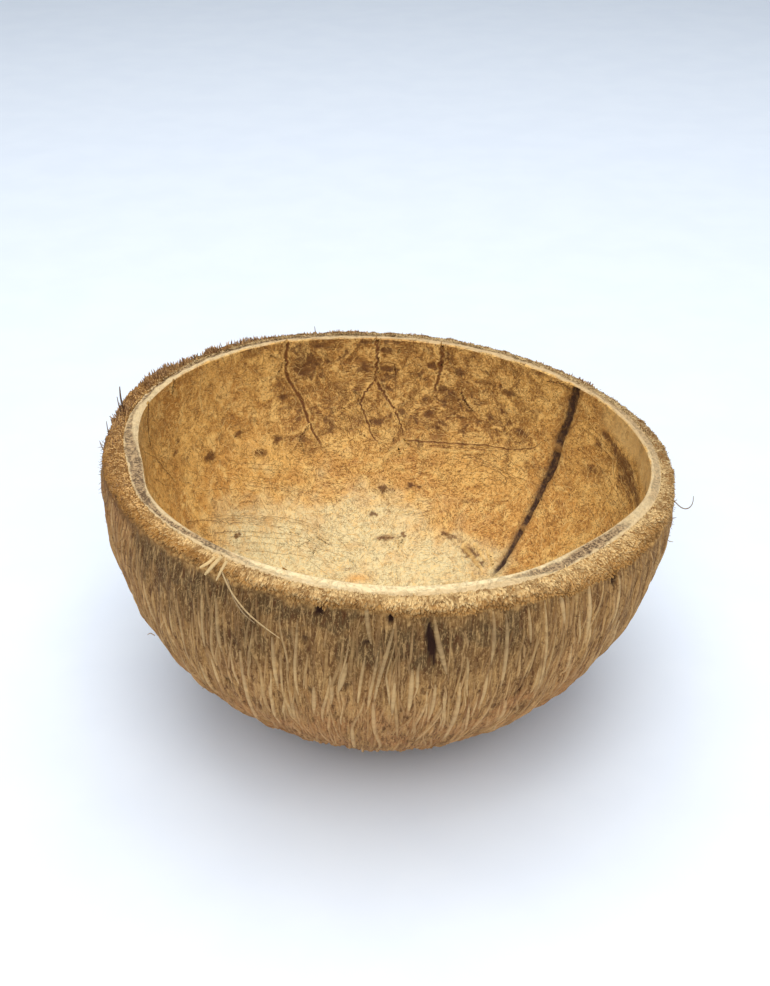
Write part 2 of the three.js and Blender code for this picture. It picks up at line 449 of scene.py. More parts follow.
# coats over the brown and gold: noise, where it begins and is full, how much shows, colour
huskCoats = [
    ("fine", 0.52, 0.68, 0.55, "pale"), ("fine", 0.48, 0.36, 0.65, "darkBrown"),
    ("crumbs", 0.52, 0.64, 0.4, "pale"), ("crumbs", 0.48, 0.36, 0.3, "darkBrown"),
    # the speck colour along the gaps noise is painted shade between the fibre threads
    ("gaps", 0.58, 0.68, 0.7, "speck"),
]
# torn-out places: turn and polar angle of the middle, half width and half length in mm, depth
pits = [
    (277.2, 87.6, 0.7, 2.9, 1.1), (277.7, 85.0, 0.85, 3.0, 1.2), (278.2, 82.5, 0.55, 2.6, 1.0),
    (258.6, 92.2, 0.8, 1.2, 1.1), (270.7, 91.4, 0.8, 1.0, 1.1), (316.3, 88.0, 0.9, 2.6, 1.0),
    (297.0, 68.1, 1.1, 0.9, 0.9), (307.9, 67.7, 0.6, 0.8, 0.7), (237.3, 68.4, 1.2, 1.1, 0.7),
    (255.8, 86.1, 0.8, 0.9, 0.6), (266.5, 86.5, 0.8, 0.8, 0.7), (262.9, 76.0, 0.6, 0.7, 0.6),
    (242.3, 81.7, 0.6, 0.7, 0.6), (255.8, 73.0, 0.6, 0.8, 0.6), (316.2, 72.9, 0.5, 0.7, 0.6),
    (205.0, 74.0, 0.7, 3.0, 0.8), (121.0, 80.0, 0.8, 4.0, 0.9), (63.0, 71.0, 0.8, 2.0, 0.8),
    (20.0, 82.0, 0.7, 3.2, 0.9), (158.0, 66.0, 0.9, 1.2, 0.8),
]
pitEdge = (1.2, 0.6)


def pitAt(turn, polar):
    deepest = np.zeros(np.broadcast(turn, polar).shape)
    for pitTurn, pitPolar, halfWidth, halfLength, depth in pits:
        across = turnGap(turn, math.radians(pitTurn)) * nut["bodyRadius"] * np.sin(polar) / halfWidth
        along = (polar - math.radians(pitPolar)) * nut["bodyRadius"] / halfLength
        deepest = np.maximum(deepest, smoothStep(*pitEdge, np.sqrt(across ** 2 + along ** 2)) * depth)
    return deepest


def belowCrease(turn, polar):
    return (creasePolarAt(turn) - polar) * nut["bodyRadius"]


# height of the husk's own relief above its round, in mm
def huskRelief(turn, polar):
    fibreTurn, fibrePolar = toFibre(turn, polar)
    strands = latticeNoise(fibreTurn, fibrePolar / husk["fibreSpan"], husk["bundles"], husk["swells"])
    strands *= smoothStep(*husk["poleFade"], fibrePolar)
    lumps = latticeNoise(turn, fibrePolar / husk["fibreSpan"], husk["lumps"])
    fromFoot = smoothStep(footPolar, footPolar + husk["footFade"], polar)
    tuck = husk["tuck"] * np.exp(-(belowCrease(turn, polar) / husk["tuckLength"]) ** 2)
    return (strands + lumps + husk["proud"]) * fromFoot - tuck - pitAt(turn, polar)


# the fibres' own directions for the shader, where the husk is ruddy, and where it is weathered and darkened
# by painted shade under the frayed slope
def huskLook(turn, polar):
    fibreTurn, fibrePolar = toFibre(turn, polar)
    grain = np.stack([np.cos(fibreTurn), np.sin(fibreTurn), fibrePolar], -1)
    patches = latticeNoise(turn, polar / math.pi, *husk["patches"])
    below = belowCrease(turn, polar) + husk["patchReach"] * patches

    def onSide(strength, first, last, soft, end, begin):
        return strength * between(turn, first, last, soft) * smoothStep(end, begin, below)

    weatheredAndShaded = np.maximum.reduce([onSide(*place) for place in husk["weatheredAndShadedPlaces"]])
    ruddy = np.maximum(smoothStep(*husk["ruddyPolar"], polar + 0.2 * patches), onSide(*husk["ruddyPlace"]))
    return grain, {"weatheredAndShaded": weatheredAndShaded, "ruddy": ruddy}


# a point on the frayed slope, from the crease at 0 to the shell's edge at 1
def slopePoint(turn, along):
    crease = bodyPoint(turn, creasePolarAt(turn))
    edge = wallPoint(turn, quarterTurn, edgeWidthAt(turn) + 0.05, 1.0)
    arch = np.sin(np.pi * np.clip(along, 0, 1))
    clumps = latticeNoise(turn, along, *husk["slopeClumps"])
    swell = husk["slopeSwell"] * (1 + stretches(turn, husk["slopeBulges"])) * arch
    swell += husk["slopeRagged"] * clumps * arch ** 0.5
    return crease + (edge - crease) * along[..., None] + around(turn, 1.0, 1.0) * swell[..., None]


# the shell's edge, and the ways down the frayed slope, round it and out of it
def slopeWays(turn):
    edge = wallPoint(turn, quarterTurn, edgeWidthAt(turn), 1.0)
    down = unit(bodyPoint(turn, creasePolarAt(turn)) - edge)
    tangent = around(turn + quarterTurn, 1.0, 0.0)
    out = np.cross(down, tangent)
    return edge, down, tangent, out * np.sign(out[:, 2:3])


# rings of turns, each with its own step along the surface
def ringGrid(turn, steps):
    return np.broadcast_arrays(turn[None], steps[:, None])


def buildHusk():
    turn = np.arange(husk["columns"]) / husk["columns"] * fullTurn
    outTurn, outside = ringGrid(turn, np.linspace(0, 1, husk["outsideRows"]))
    slopeTurn, slopeAlong = ringGrid(turn, np.linspace(0, 1, husk["slopeRows"] + 1)[1:])
    inTurn, inSweep = ringGrid(turn, np.linspace(1, husk["innerEnd"], husk["insideRows"]) * quarterTurn)
    polar = footPolar + (creasePolarAt(outTurn) - footPolar) * outside
    outer = bodyPoint(outTurn, polar, huskRelief(outTurn, polar))
    outer[0, :, 2] = 0.0
    depth = nut["shellThickness"] + nut["layerGap"]
    inner = wallPoint(inTurn, inSweep, depth, 1.0)
    inner[0, :, 2] -= nut["layerGap"]
    rings = np.concatenate([outer, slopePoint(slopeTurn, slopeAlong), inner])
    middles = [np.zeros((1, 3)), wallPoint(np.zeros(1), np.zeros(1), depth)]
    ragged = latticeNoise(outTurn, outside, *husk["frayRagged"])
    fray = smoothStep(*husk["frayEnd"], belowCrease(outTurn, polar) + ragged)
    turns = np.concatenate([outTurn, slopeTurn, inTurn])
    polars = np.concatenate([polar, creasePolarAt(slopeTurn) + slopeAlong * 0.04, inSweep])
    grain, numbers = huskLook(turns, polars)
    inside = np.ones((len(turns) - len(outTurn), len(turn)))
    numbers["fray"] = np.concatenate([fray, inside])
    numbers["pitShade"] = np.concatenate([pitAt(outTurn, polar), 0 * inside])
    numbers["browner"] = np.maximum(earthyAt(turns), greyedAt(turns))
    piece = makeBowl("huskBody", rings, middles, numbers, grain)
    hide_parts("husk")
    dress(piece, huskMaterial())


def huskColour(kit):
    grain = kit.read("grain", "Vector")
    noises = {key: kit.noise(kit.stretch(grain, scale), 1.0, *rest)
              for key, (scale, *rest) in husk["grains"].items()}
    threads, patches = noises["threads"], noises["patches"]
    colour = kit.coats(
        kit.mix(kit.fit(threads, 0.36, 0.64), husk["brown"], husk["golden"]),
        (kit.times(kit.read("ruddy"), kit.fit(patches, 0.6, 0.42, 0.15, 0.7)), husk["ruddy"]),
        # weathered band: greyer husk with painted shade under the frayed slope
        (kit.times(kit.read("weatheredAndShaded"), kit.fit(patches, 0.38, 0.56, 0.35, 0.95)), husk["weatheredAndShaded"]),
        *((kit.fit(noises[key], low, high, 0, most), husk[tint]) for key, low, high, most, tint in huskCoats))
    return colour, threads, noises["fine"]


def huskMaterial():
    kit = Kit("coconutHuskFibre", 0.92, 0.2)
    colour, threads, fine = huskColour(kit)
    tufts = kit.noise(kit.place(), 900, 3, 0.6, 0.4)
    gold = kit.mix(kit.fit(tufts, 0.38, 0.62), husk["goldDark"], husk["gold"])
    gold = kit.mix(kit.read("browner"), gold, husk["brown"])
    # painted shade in the torn-out hollows, darker the deeper they are
    colour = kit.coats(colour, (kit.read("fray"), gold), (kit.times(kit.read("pitShade"), 1.1), husk["pitShade"]))
    return kit.finish(colour, kit.bump(fine, 0.6, 0.0005, kit.bump(threads, 0.7, 0.0012)))


# husk strands: fibre bundles that stand out of the body
strandKinds = {
    "paleStrands": {
        "count": 640, "seed": 41, "width": (0.55, 1.1), "height": (0.2, 0.4), "length": (8, 19),
        "lean": 5, "bend": 9, "low": srgb(170, 132, 80), "high": srgb(216, 180, 126), "blend": 0.72,
    },
    "brownStrands": {
        "count": 2600, "seed": 42, "width": (0.45, 0.95), "height": (0.1, 0.3), "length": (3, 12),
        "lean": 5, "bend": 7, "low": srgb(122, 82, 40), "high": srgb(206, 164, 108), "blend": 0.75,
    },
}
strandLook = {
    "steps": 9,
    "footRoom": 0.08,         # radians that their starts keep from the foot and from the crease
    "creaseRoom": 0.02,
    "endRoom": 0.03,
    "overCrease": 0.6,        # mm that an end may reach over the crease
    "deepest": 0.15,          # the deepest torn-out place that one may cross
    "blunt": 0.35,            # 1 is a slender taper, 0 is none
    "ripple": 0.04,
    # the front strands are raised and wider by these, in mm, and this pale
    "frontLift": 0.08,
    "frontWider": 0.3,
    "frontTone": 0.9,
}
# the strands that stand out most on the front, as turns and polar angles from the top end down
frontStrands = [
    [(254.9, 90.3), (255, 86.5), (254.2, 83.2), (253.3, 78.6), (253.1, 74.8), (253.4, 71.3)],
    [(249.9, 85.3), (249.7, 81.1), (249.3, 76.4), (249.3, 71.8)],
    [(243.2, 80.4), (242.5, 73.8), (241.5, 66.3), (239.6, 57.7), (237.2, 51)],
    [(266.5, 94.7), (266.7, 91.2), (266.9, 88.7), (267.4, 86.4)],
    [(271.4, 90.8), (270.2, 85.8), (269.2, 81.2), (268.1, 76.5), (267.7, 71.9)],
    [(266.3, 83.5), (265.5, 78.5), (265, 74.7), (264.7, 71.7)],
    [(267.5, 71.9), (267.4, 66.4), (267.5, 58.7)],
    [(260, 78.4), (260.2, 74.6), (259.5, 70.2)],
    [(256.8, 75.1), (256.4, 70.2), (255.5, 65.7)],
    [(251.7, 72), (251.3, 66.5), (250.2, 60.2)],
    [(263.2, 82.3), (262.3, 78.2), (261.2, 74.2)],
    [(236.1, 90.7), (235.8, 85.9), (235.3, 81.5), (234.4, 77.1)],
    [(239.4, 90.6), (239.4, 86.4), (238.9, 81.7), (238.9, 78.2)],
    [(274.4, 80.6), (274.4, 75.3), (274.1, 69.2)],
    [(271.5, 79.7), (271.2, 74.3), (271, 67.9)],
    [(278.7, 76), (278.8, 69.9), (278.1, 64.1)],
    [(247.4, 69.1), (246.3, 63.5), (245.2, 57.4)],
    [(263.1, 64.3), (262.7, 57.5), (261.8, 47.1)],
    [(280.9, 73.9), (281.1, 68.1), (281.1, 58.7)],
    [(278.1, 90.8), (278.5, 86.6), (279.5, 83.4), (280.5, 78.9)],
    [(288.4, 90.8), (288.8, 87.4), (288.7, 83.5), (288.6, 79.2)],
    [(290.7, 89.9), (291.4, 85), (291.6, 80.7), (292, 76), (291.8, 71.4)],
    [(288.2, 77.2), (288.4, 72), (288.3, 65.9)],
    [(295.5, 89.4), (295.9, 85.4), (296.5, 81.5)],
    [(298.5, 90.2), (298.9, 86.2), (300, 81.2), (300.2, 77.1), (301.1, 69.8), (301.3, 64.1)],
    [(308.8, 90.5), (309.2, 85.6), (310.9, 79.6), (311, 74.9)],
    [(302.2, 91), (303, 86.9), (303.8, 83)],
    [(283.3, 75.7), (283.6, 70.2), (283.5, 60), (283.6, 51)],
    [(294.3, 66.4), (295.5, 60.1), (295, 57.4)],
    [(285.7, 69), (286.5, 63.5), (287.9, 55.9)],
    [(307.2, 76.4), (308.3, 70.1), (308, 65.8)],
    [(322, 74.8), (324.6, 67.4), (325.9, 61.2)],
]


# paths over the husk, headed down the fibres' own meridians with a little lean and bend
def strandPaths(rng, kind):
    count, steps = kind["count"], strandLook["steps"]
    turn = rng.uniform(0, fullTurn, count)
    lowest = math.cos(footPolar + strandLook["footRoom"])
    highest = np.cos(creasePolarAt(turn) + strandLook["creaseRoom"])
    polar = np.arccos(lowest + (highest - lowest) * rng.random(count))
    fibreTurn, fibrePolar = toFibre(turn, polar)
    stride = rng.uniform(*kind["length"], count) / (steps - 1) / nut["bodyRadius"]
    lean = np.radians(rng.normal(0, kind["lean"], count))
    bend = np.radians(rng.normal(0, kind["bend"], count))
    turns, polars = np.zeros((2, count, steps))
    for step in range(steps):
        heading = lean + bend * math.sin(step / steps * math.pi * 1.5)
        turns[:, step], polars[:, step] = fibreTurn, fibrePolar
        fibrePolar = np.maximum(fibrePolar - stride * np.cos(heading), strandLook["endRoom"])
        fibreTurn = fibreTurn + stride * np.sin(heading) / np.sin(fibrePolar)
    turns, polars = fromFibre(turns, polars)
    keep = pitAt(turns, polars).max(1) < strandLook["deepest"]
    keep &= polars.min(1) > footPolar + strandLook["endRoom"]
    keep &= belowCrease(turns, polars).min(1) > -strandLook["overCrease"]
    return turns[keep], polars[keep]


def buildStrands(name, extra=()):
    kind, steps = strandKinds[name], strandLook["steps"]
    rng = np.random.default_rng(kind["seed"])
    turns, polars = strandPaths(rng, kind)
    for line in extra:
        path = np.radians(smoothPath([(*place, 0) for place in line], steps))
        turns, polars = np.vstack([turns, path[:, 0]]), np.vstack([polars, path[:, 1]])
    count = len(turns)
    onFront = np.arange(count)[:, None] >= count - len(extra)
    step = np.linspace(0, 1, steps)
    taper = np.sin(np.pi * np.clip(step, 0.03, 0.97)) ** strandLook["blunt"]
    widths = (rng.uniform(*kind["width"], count)[:, None] + strandLook["frontWider"] * onFront) * taper
    heights = rng.uniform(*kind["height"], count)[:, None] * (taper * 1.25 - 0.25)
    heights += strandLook["ripple"] * np.sin(step * 9 + rng.uniform(0, 6, count)[:, None])
    grain, numbers = huskLook(turns, polars)
    numbers["tone"] = np.maximum(rng.random(count)[:, None], strandLook["frontTone"] * onFront)
    numbers["ends"] = np.clip(taper * 1.3, 0, 1)
    centres = bodyPoint(turns, polars, huskRelief(turns, polars) + strandLook["frontLift"] * onFront)
    normals = bodyNormal(turns, polars)
    piece = layStrips(name, centres, normals, widths, heights, flatCrown, numbers, {"grain": grain})
    dress(piece, strandMaterial(name, kind))


def strandMaterial(name, kind):
    kit = Kit(name + "Finish", 0.85, 0.25)
    body = huskColour(kit)[0]
    fine = kit.noise(kit.stretch(kit.read("grain", "Vector"), (230, 230, 26)), 1.0, 3, 0.6, 0.2)
    colour = kit.coats(
        kit.mix(kit.read("tone"), kind["low"], kind["high"]),
        (kit.fit(fine, 0.42, 0.7, 0, 0.4), husk["brown"]),
        # the same weathered tone with painted shade under the frayed slope
        (kit.times(kit.read("weatheredAndShaded"), 0.45), husk["weatheredAndShaded"]),
        (kit.times(kit.read("ruddy"), 0.25), husk["ruddy"]))
    colour = kit.mix(kit.times(kit.read("mark"), kind["blend"]), body, colour)
    return kit.finish(colour, kit.bump(fine, 0.5, 0.0003))


# fringe: the cut fibre ends on the slope of the rim
fringeKinds = {
    # thicker locks
    "rimTufts": {
        "count": 12500, "seed": 51, "length": (0.7, 1.5), "radius": (0.08, 0.16), "lowest": -0.05,
        "down": (0.45, 1.0), "out": 0.36, "sway": 0.55, "scatter": 0.2,
    },
    # fine hairs between them
    "rimFringe": {
        "count": 9500, "seed": 52, "length": (0.6, 1.6), "radius": (0.05, 0.09), "lowest": -0.1,
        "down": (0.3, 1.0), "out": 0.55, "sway": 0.5, "scatter": 0.36,
    },
}
fringe = {
    # places as strength, turns and softness: where the locks are coarse, earthy, grey, or on the front
    "coarsePlaces": [(1.0, 214, 300, 8), (0.3, 300, 345, 8)],
    "earthyPlaces": [(1.0, 146, 222, 14)],
    "greyPlaces": [(1.0, 4, 146, 14), (0.35, 335, 364, 12)],
    "frontPlace": (240, 308, 12),
    # how much wider, longer and sparser the coarse ones are, and how much further down they point
    "coarser": 2.3,
    "longer": 0.25,
    "sparser": 0.3,
    "coarseDown": 0.5,
    "earthyShorter": 0.35,    # how the earthy and the grey ones differ
    "earthyThicker": 0.7,
    "earthyUp": 0.3,
    "greyShorter": 0.3,
    "startTurns": [0, 180, 205, 215, 238, 252, 265, 300, 330],
    "starts": [0.16, 0.2, 0.3, 0.42, 0.4, 0.22, 0.14, 0.06, 0.08],   # how far up the slope the lowest stand
    "startRagged": (0.14, 110, 1, 53),
    "highest": 1.03,                  # the shell's edge is at 1
    "overRim": (0.3, 20, 165, 12),    # how far the ends at the back lie over it
    "swayCells": (190, 3, 54),        # neighbouring ends lean together
    "combed": (0.35, 300, 372, 10),   # those on the right are combed round to the front
    "clumps": (0.4, 170, 3, 55),
    "lowLength": 0.55,        # how long the lowest are against the highest
    "toneScatter": 0.26,
    "droop": -0.15,
    # each lock runs from a dark root to a light tip: painted shade deep among the locks and painted highlight
    # on their cut ends
    "goldRoot": srgb(140, 102, 54),
    "goldMiddle": srgb(212, 169, 106),
    "goldTip": srgb(240, 210, 154),
    # the earthy and grey colours are lighter than the fibres' own tone: painted light on the back of the
    # slope, which the lamps leave in shade
    "earthRoot": srgb(138, 102, 58),
    "earthMiddle": srgb(210, 164, 100),
    "earthTip": srgb(240, 204, 146),
    "greyRoot": srgb(126, 102, 70),
    "greyMiddle": srgb(186, 160, 118),
    "greyTip": srgb(208, 184, 144),
    "lowEnds": srgb(160, 112, 52),
    # dark brown for the gaps between clumps of locks: painted shade
    "gapShade": srgb(122, 84, 42),
}
rooted = 0.2                  # mm that a spike of the rim starts inside the slope


def earthyAt(turn):
    return stretches(turn, fringe["earthyPlaces"])


def greyedAt(turn):
    return np.clip(stretches(turn, fringe["greyPlaces"]), 0, 1)


def coarseAt(turn):
    return stretches(turn, fringe["coarsePlaces"], np.maximum)


def buildFringe(name, kind):
    rng = np.random.default_rng(kind["seed"])
    turn = rng.uniform(0, fullTurn, kind["count"])
    turn = turn[rng.random(len(turn)) > fringe["sparser"] * coarseAt(turn)]
    count = len(turn)
    coarse, greyed, earthy = coarseAt(turn), greyedAt(turn), earthyAt(turn)
    start = np.interp(np.degrees(turn), fringe["startTurns"], fringe["starts"], period=360)
    lowest = kind["lowest"] + start + latticeNoise(turn, 0 * turn, fringe["startRagged"])
    highest = fringe["highest"] + stretches(turn, [fringe["overRim"]])
    along = lowest + (highest - lowest) * rng.random(count)
    up = np.clip(along, 0, 1)
    edge, down, tangent, out = slopeWays(turn)
    roots = slopePoint(turn, up)
    roots += (wallPoint(turn, quarterTurn) - edge) * np.clip(along - 1, 0, 1)[:, None]
    roots += (bodyNormal(turn, creasePolarAt(turn)) * 0.3 + [0, 0, 6.0]) * np.minimum(along, 0)[:, None]
    sway = latticeNoise(turn, up, (kind["sway"], *fringe["swayCells"])) - stretches(turn, [fringe["combed"]])
    downward = rng.uniform(*kind["down"], count) + fringe["coarseDown"] * coarse - fringe["earthyUp"] * earthy
    directions = down * downward[:, None]
    directions += out * kind["out"] + tangent * sway[:, None] + rng.normal(0, kind["scatter"], (count, 3))
    directions = unit(directions)
    lengths = rng.uniform(*kind["length"], count)
    lengths *= (1 - fringe["greyShorter"] * greyed) * (1 - fringe["earthyShorter"] * earthy)
    lengths *= (1 + fringe["longer"] * coarse) * (fringe["lowLength"] + (1 - fringe["lowLength"]) * up)
    radii = rng.uniform(*kind["radius"], count)
    radii *= 1 + fringe["coarser"] * coarse + fringe["earthyThicker"] * earthy
    near = smoothStep(0.5, 1, along) * (1 - earthy) + 0.8 * between(turn, *fringe["frontPlace"])
    tone = 0.5 + latticeNoise(turn, up, fringe["clumps"]) + rng.normal(0, fringe["toneScatter"], count)
    numbers = {
        "tone": np.clip(tone, 0, 1), "greyed": greyed, "earthy": earthy, "near": np.clip(near, 0, 1),
        "low": smoothStep(0.7, 0.1, along - lowest) * (1 - greyed),
    }
    roots -= directions * rooted
    piece = plantSpikes(name, roots, directions, lengths, radii, fringe["droop"], numbers)
    dress(piece, fringeMaterial(name))


def fringeMaterial(name):
    kit = Kit(name + "Finish", 0.9, 0.15)
    lower, upper = kit.fit(kit.read("tipward"), 0.0, 0.55), kit.fit(kit.read("tipward"), 0.4, 1.0)
    gold, earth, grey = (
        kit.coats(fringe[hue + "Root"], (lower, fringe[hue + "Middle"]), (upper, fringe[hue + "Tip"]))
        for hue in ("gold", "earth", "grey"))
    clumps = kit.noise(kit.place(), 430, 2, 0.5)
    speck = kit.noise(kit.place(), 1300, 2, 0.5)
    colour = kit.coats(
        gold,
        # earthy and grey locks at the back, lightened as painted light
        (kit.read("earthy"), earth),
        (kit.read("greyed"), grey),
        (kit.times(kit.read("near"), 0.55), fringe["goldTip"]),
        (kit.times(kit.read("low"), 0.8), fringe["lowEnds"]),
        # darker locks and patches: painted shade in the gaps between clumps
        (kit.fit(kit.read("tone"), 0.6, 0.1, 0, 0.7), fringe["gapShade"]),
        (kit.fit(clumps, 0.52, 0.68, 0, 0.4), fringe["gapShade"]),
        (kit.fit(speck, 0.52, 0.7, 0, 0.35), fringe["gapShade"]))
    return kit.finish(colour, kit.bump(speck, 0.4, 0.0002))


# whiskers: short hairs that stand off the husk, most of them near the rim
whiskers = {
    "count": 1500,
    "seed": 61,
    "length": (0.7, 1.8),
    "radius": (0.045, 0.08),
    "moreTurns": (95, 190),   # where this share of them is put
    "moreShare": 0.3,
    "reach": 5.5,             # mm below the crease, as a spread, and how far over it they go
    "overCrease": 0.6,
    "lowShare": 0.12,         # the share that stands further down, between these in mm
    "lowReach": (4, 70),
    "shortBelow": 12,         # those lower than this, in mm, are half as long
    "out": 0.6,
    "down": (0.1, 0.7),       # middle and spread of how far they point down
    "scatter": 0.35,
    "droop": -0.1,
    "dark": srgb(92, 66, 42),
    "pale": srgb(186, 150, 100),
}


def buildWhiskers():
    rng = np.random.default_rng(whiskers["seed"])
    count = whiskers["count"]
    turn = rng.uniform(0, fullTurn, count)
    more = rng.random(count) < whiskers["moreShare"]
    turn = np.where(more, rng.uniform(*np.radians(whiskers["moreTurns"]), count), turn)
    below = np.abs(rng.normal(0, whiskers["reach"], count)) - whiskers["overCrease"]
    low = rng.random(count) < whiskers["lowShare"]
    below = np.where(low, rng.uniform(*whiskers["lowReach"], count), below)
    polar = creasePolarAt(turn) - below / nut["bodyRadius"]
    roots = bodyPoint(turn, polar, huskRelief(turn, polar) - 0.1)
    down = around(turn, -np.cos(polar), -np.sin(polar))
    directions = bodyNormal(turn, polar) * whiskers["out"]
    directions += down * rng.normal(*whiskers["down"], count)[:, None]
    directions = unit(directions + rng.normal(0, whiskers["scatter"], (count, 3)))
    lengths = rng.uniform(*whiskers["length"], count) * np.where(below > whiskers["shortBelow"], 0.5, 1.0)
    radii = rng.uniform(*whiskers["radius"], count)
    numbers = {"tone": rng.random(count)}
    piece = plantSpikes("huskWhiskers", roots, directions, lengths, radii, whiskers["droop"], numbers)
    dress(piece, hairMaterial("whiskerFibre", 0.8, whiskers))


def hairMaterial(name, roughness, kind):
    kit = Kit(name, roughness)
    speck = kit.noise(kit.place(), 1200, 2, 0.5)
    colour = kit.mix(kit.read("tone"), kind["dark"], kind["pale"])
    return kit.finish(kit.mix(kit.fit(speck, 0.4, 0.7, 0, 0.4), colour, husk["darkBrown"]))


# bristles: stiff stubble that stands up from the slope, thickest at the back left
bristles = {
    "count": 7400,
    "seed": 64,
    "length": (0.5, 1.3),
    "radius": (0.08, 0.17),
    "turns": [0, 25, 45, 98, 112, 168, 182, 200, 210, 360],
    "thickness": [0, 0.25, 0.35, 0.35, 1, 1, 0.6, 0.4, 0, 0],     # how thickly they stand, by turn
    "share": 0.75,            # of those that would fit, and how it comes in clumps
    "clumps": (0.5, 150, 1, 65),
    "lengthWaves": (0.5, 90, 1, 66),
    "onSlope": (0.15, 1.0),
    "down": (-0.5, 0.3),
    "scatter": 0.28,
    "upright": (122, 188, 10),        # turns between which they stand straight up
    "lengths": (0.65, 0.45),          # usual length, and how much more it is there
    "upward": (0.2, 0.8),             # in the same way
    "lessOut": 0.6,
    "droop": 0.05,
    "dark": srgb(98, 64, 40),
    "pale": srgb(206, 164, 112),
}


def buildBristles():
    rng = np.random.default_rng(bristles["seed"])
    turn = rng.uniform(0, fullTurn, bristles["count"])
    thickness = np.interp(np.degrees(turn), bristles["turns"], bristles["thickness"])
    clumps = bristles["share"] + latticeNoise(turn, 0 * turn, bristles["clumps"])
    turn = turn[rng.random(len(turn)) < thickness * clumps]
    count = len(turn)
    _, down, _, out = slopeWays(turn)
    roots = slopePoint(turn, rng.uniform(*bristles["onSlope"], count))
    lift = between(turn, *bristles["upright"])
    upward, length = (usual + more * lift for usual, more in (bristles["upward"], bristles["lengths"]))
    directions = out * (1 - bristles["lessOut"] * lift)[:, None]
    directions += down * rng.uniform(*bristles["down"], count)[:, None]
    directions += rng.normal(0, bristles["scatter"], (count, 3)) + [0, 0, 1] * upward[:, None]
    directions = unit(directions)
    lengths = rng.uniform(*bristles["length"], count)
    lengths *= (1 + latticeNoise(turn, 0 * turn, bristles["lengthWaves"])) * length
    radii = rng.uniform(*bristles["radius"], count)
    numbers = {"tone": rng.random(count)}
    roots -= directions * rooted
    piece = plantSpikes("rimBristles", roots, directions, lengths, radii, bristles["droop"], numbers)
    dress(piece, hairMaterial("bristleFibre", 0.85, bristles))


# loose fibres: the few long ones that have come away, as radius, tone and points in millimetres
looseFibres = [
    (0.13, 0.15, [(63.2, -12.2, 61.9), (64.4, -12.7, 60.7), (65.8, -13.4, 59.5), (66.9, -13.6, 59.2),
        (68.0, -13.3, 59.7), (68.5, -12.7, 60.7), (68.5, -12.1, 61.9)]),
    (0.1, 0.3, [(61.6, -16.0, 55.4), (62.9, -17.1, 53.1), (64.0, -17.2, 53.0)]),
    (0.24, 0.0, [(-62.3, 14.4, 69.0), (-62.2, 12.0, 72.6), (-62.1, 10.6, 75.8), (-62.0, 10.5, 78.0)]),
    (0.15, 0.1, [(-62.6, 12.6, 69.4), (-62.5, 9.8, 73.4), (-62.6, 9.3, 76.0)]),
    (0.12, 0.1, [(-63.9, 2.5, 69.0), (-64.1, 2.3, 71.6), (-64.1, 2.3, 73.2)]),
    (0.12, 0.2, [(-64.0, -4.2, 69.0), (-64.4, -4.5, 70.6), (-64.6, -4.6, 71.8)]),
    (0.1, 0.4, [(-51.4, -30.0, 36.4), (-52.4, -29.8, 37.0), (-53.0, -30.4, 36.9)]),
    (0.11, 0.0, [(-19.0, 61.0, 68.6), (-19.2, 61.8, 70.4), (-19.3, 61.9, 71.2)]),
    (0.1, 0.1, [(-36.4, 53.0, 68.8), (-36.6, 53.9, 70.8), (-36.8, 54.1, 71.4)]),
]
# long fibres lying over the husk: radius, tone, then turn, polar and how far they stand off it
drapedFibres = [
    (0.17, 0.6, [(240.9, 97.0, 0.9), (243.1, 93.4, 1.3), (246.4, 90.0, 1.4), (248.6, 88.5, 1.3),
        (251.8, 86.2, 1.0)]),
    (0.12, 0.35, [(242.2, 95.4, 0.8), (243.7, 91.9, 1.2), (245.5, 89.6, 1.2), (247.4, 88.2, 1.0)]),
    (0.42, 0.9, [(241.2, 99.4, 0.9), (239.8, 97.4, 1.7), (238.4, 95.4, 1.9)]),
    (0.36, 1.0, [(240.0, 98.9, 1.1), (238.9, 97.6, 2.0), (237.6, 96.6, 2.3)]),
    (0.3, 0.85, [(242.2, 98.8, 0.9), (241.4, 96.8, 1.6), (240.6, 95.0, 1.7)]),
    (0.2, 0.7, [(70.0, 90.0, 0.5), (72.0, 82.0, 1.4), (69.0, 74.0, 1.2), (66.5, 68.0, 0.4)]),
]
looseLook = {
    "steps": 22,
    "sides": 6,
    "thinning": 0.5,          # how much thinner the far end is
    "dark": srgb(110, 92, 78),
    "pale": srgb(224, 190, 132),
}


def smoothPath(points, steps, rounds=6):
    points = np.array(points, float)
    marks = np.append(0, np.cumsum(np.linalg.norm(np.diff(points, axis=0), axis=1)))
    places = np.linspace(0, marks[-1], steps)
    path = np.stack([np.interp(places, marks, points[:, axis]) for axis in range(3)], -1)
    for _ in range(rounds):
        path[1:-1] = (path[:-2] + 2 * path[1:-1] + path[2:]) / 4
    return path


def tubeAlong(path, radii, sides):
    ahead = unit(np.gradient(path, axis=0))
    sideA = unit(np.cross(ahead, [0.3, 0.2, 0.93]))
    sideB = np.cross(ahead, sideA)
    angles = np.arange(sides)[None, :, None] / sides * fullTurn
    ring = sideA[:, None] * np.cos(angles) + sideB[:, None] * np.sin(angles)
    return path[:, None] + ring * radii[:, None, None]


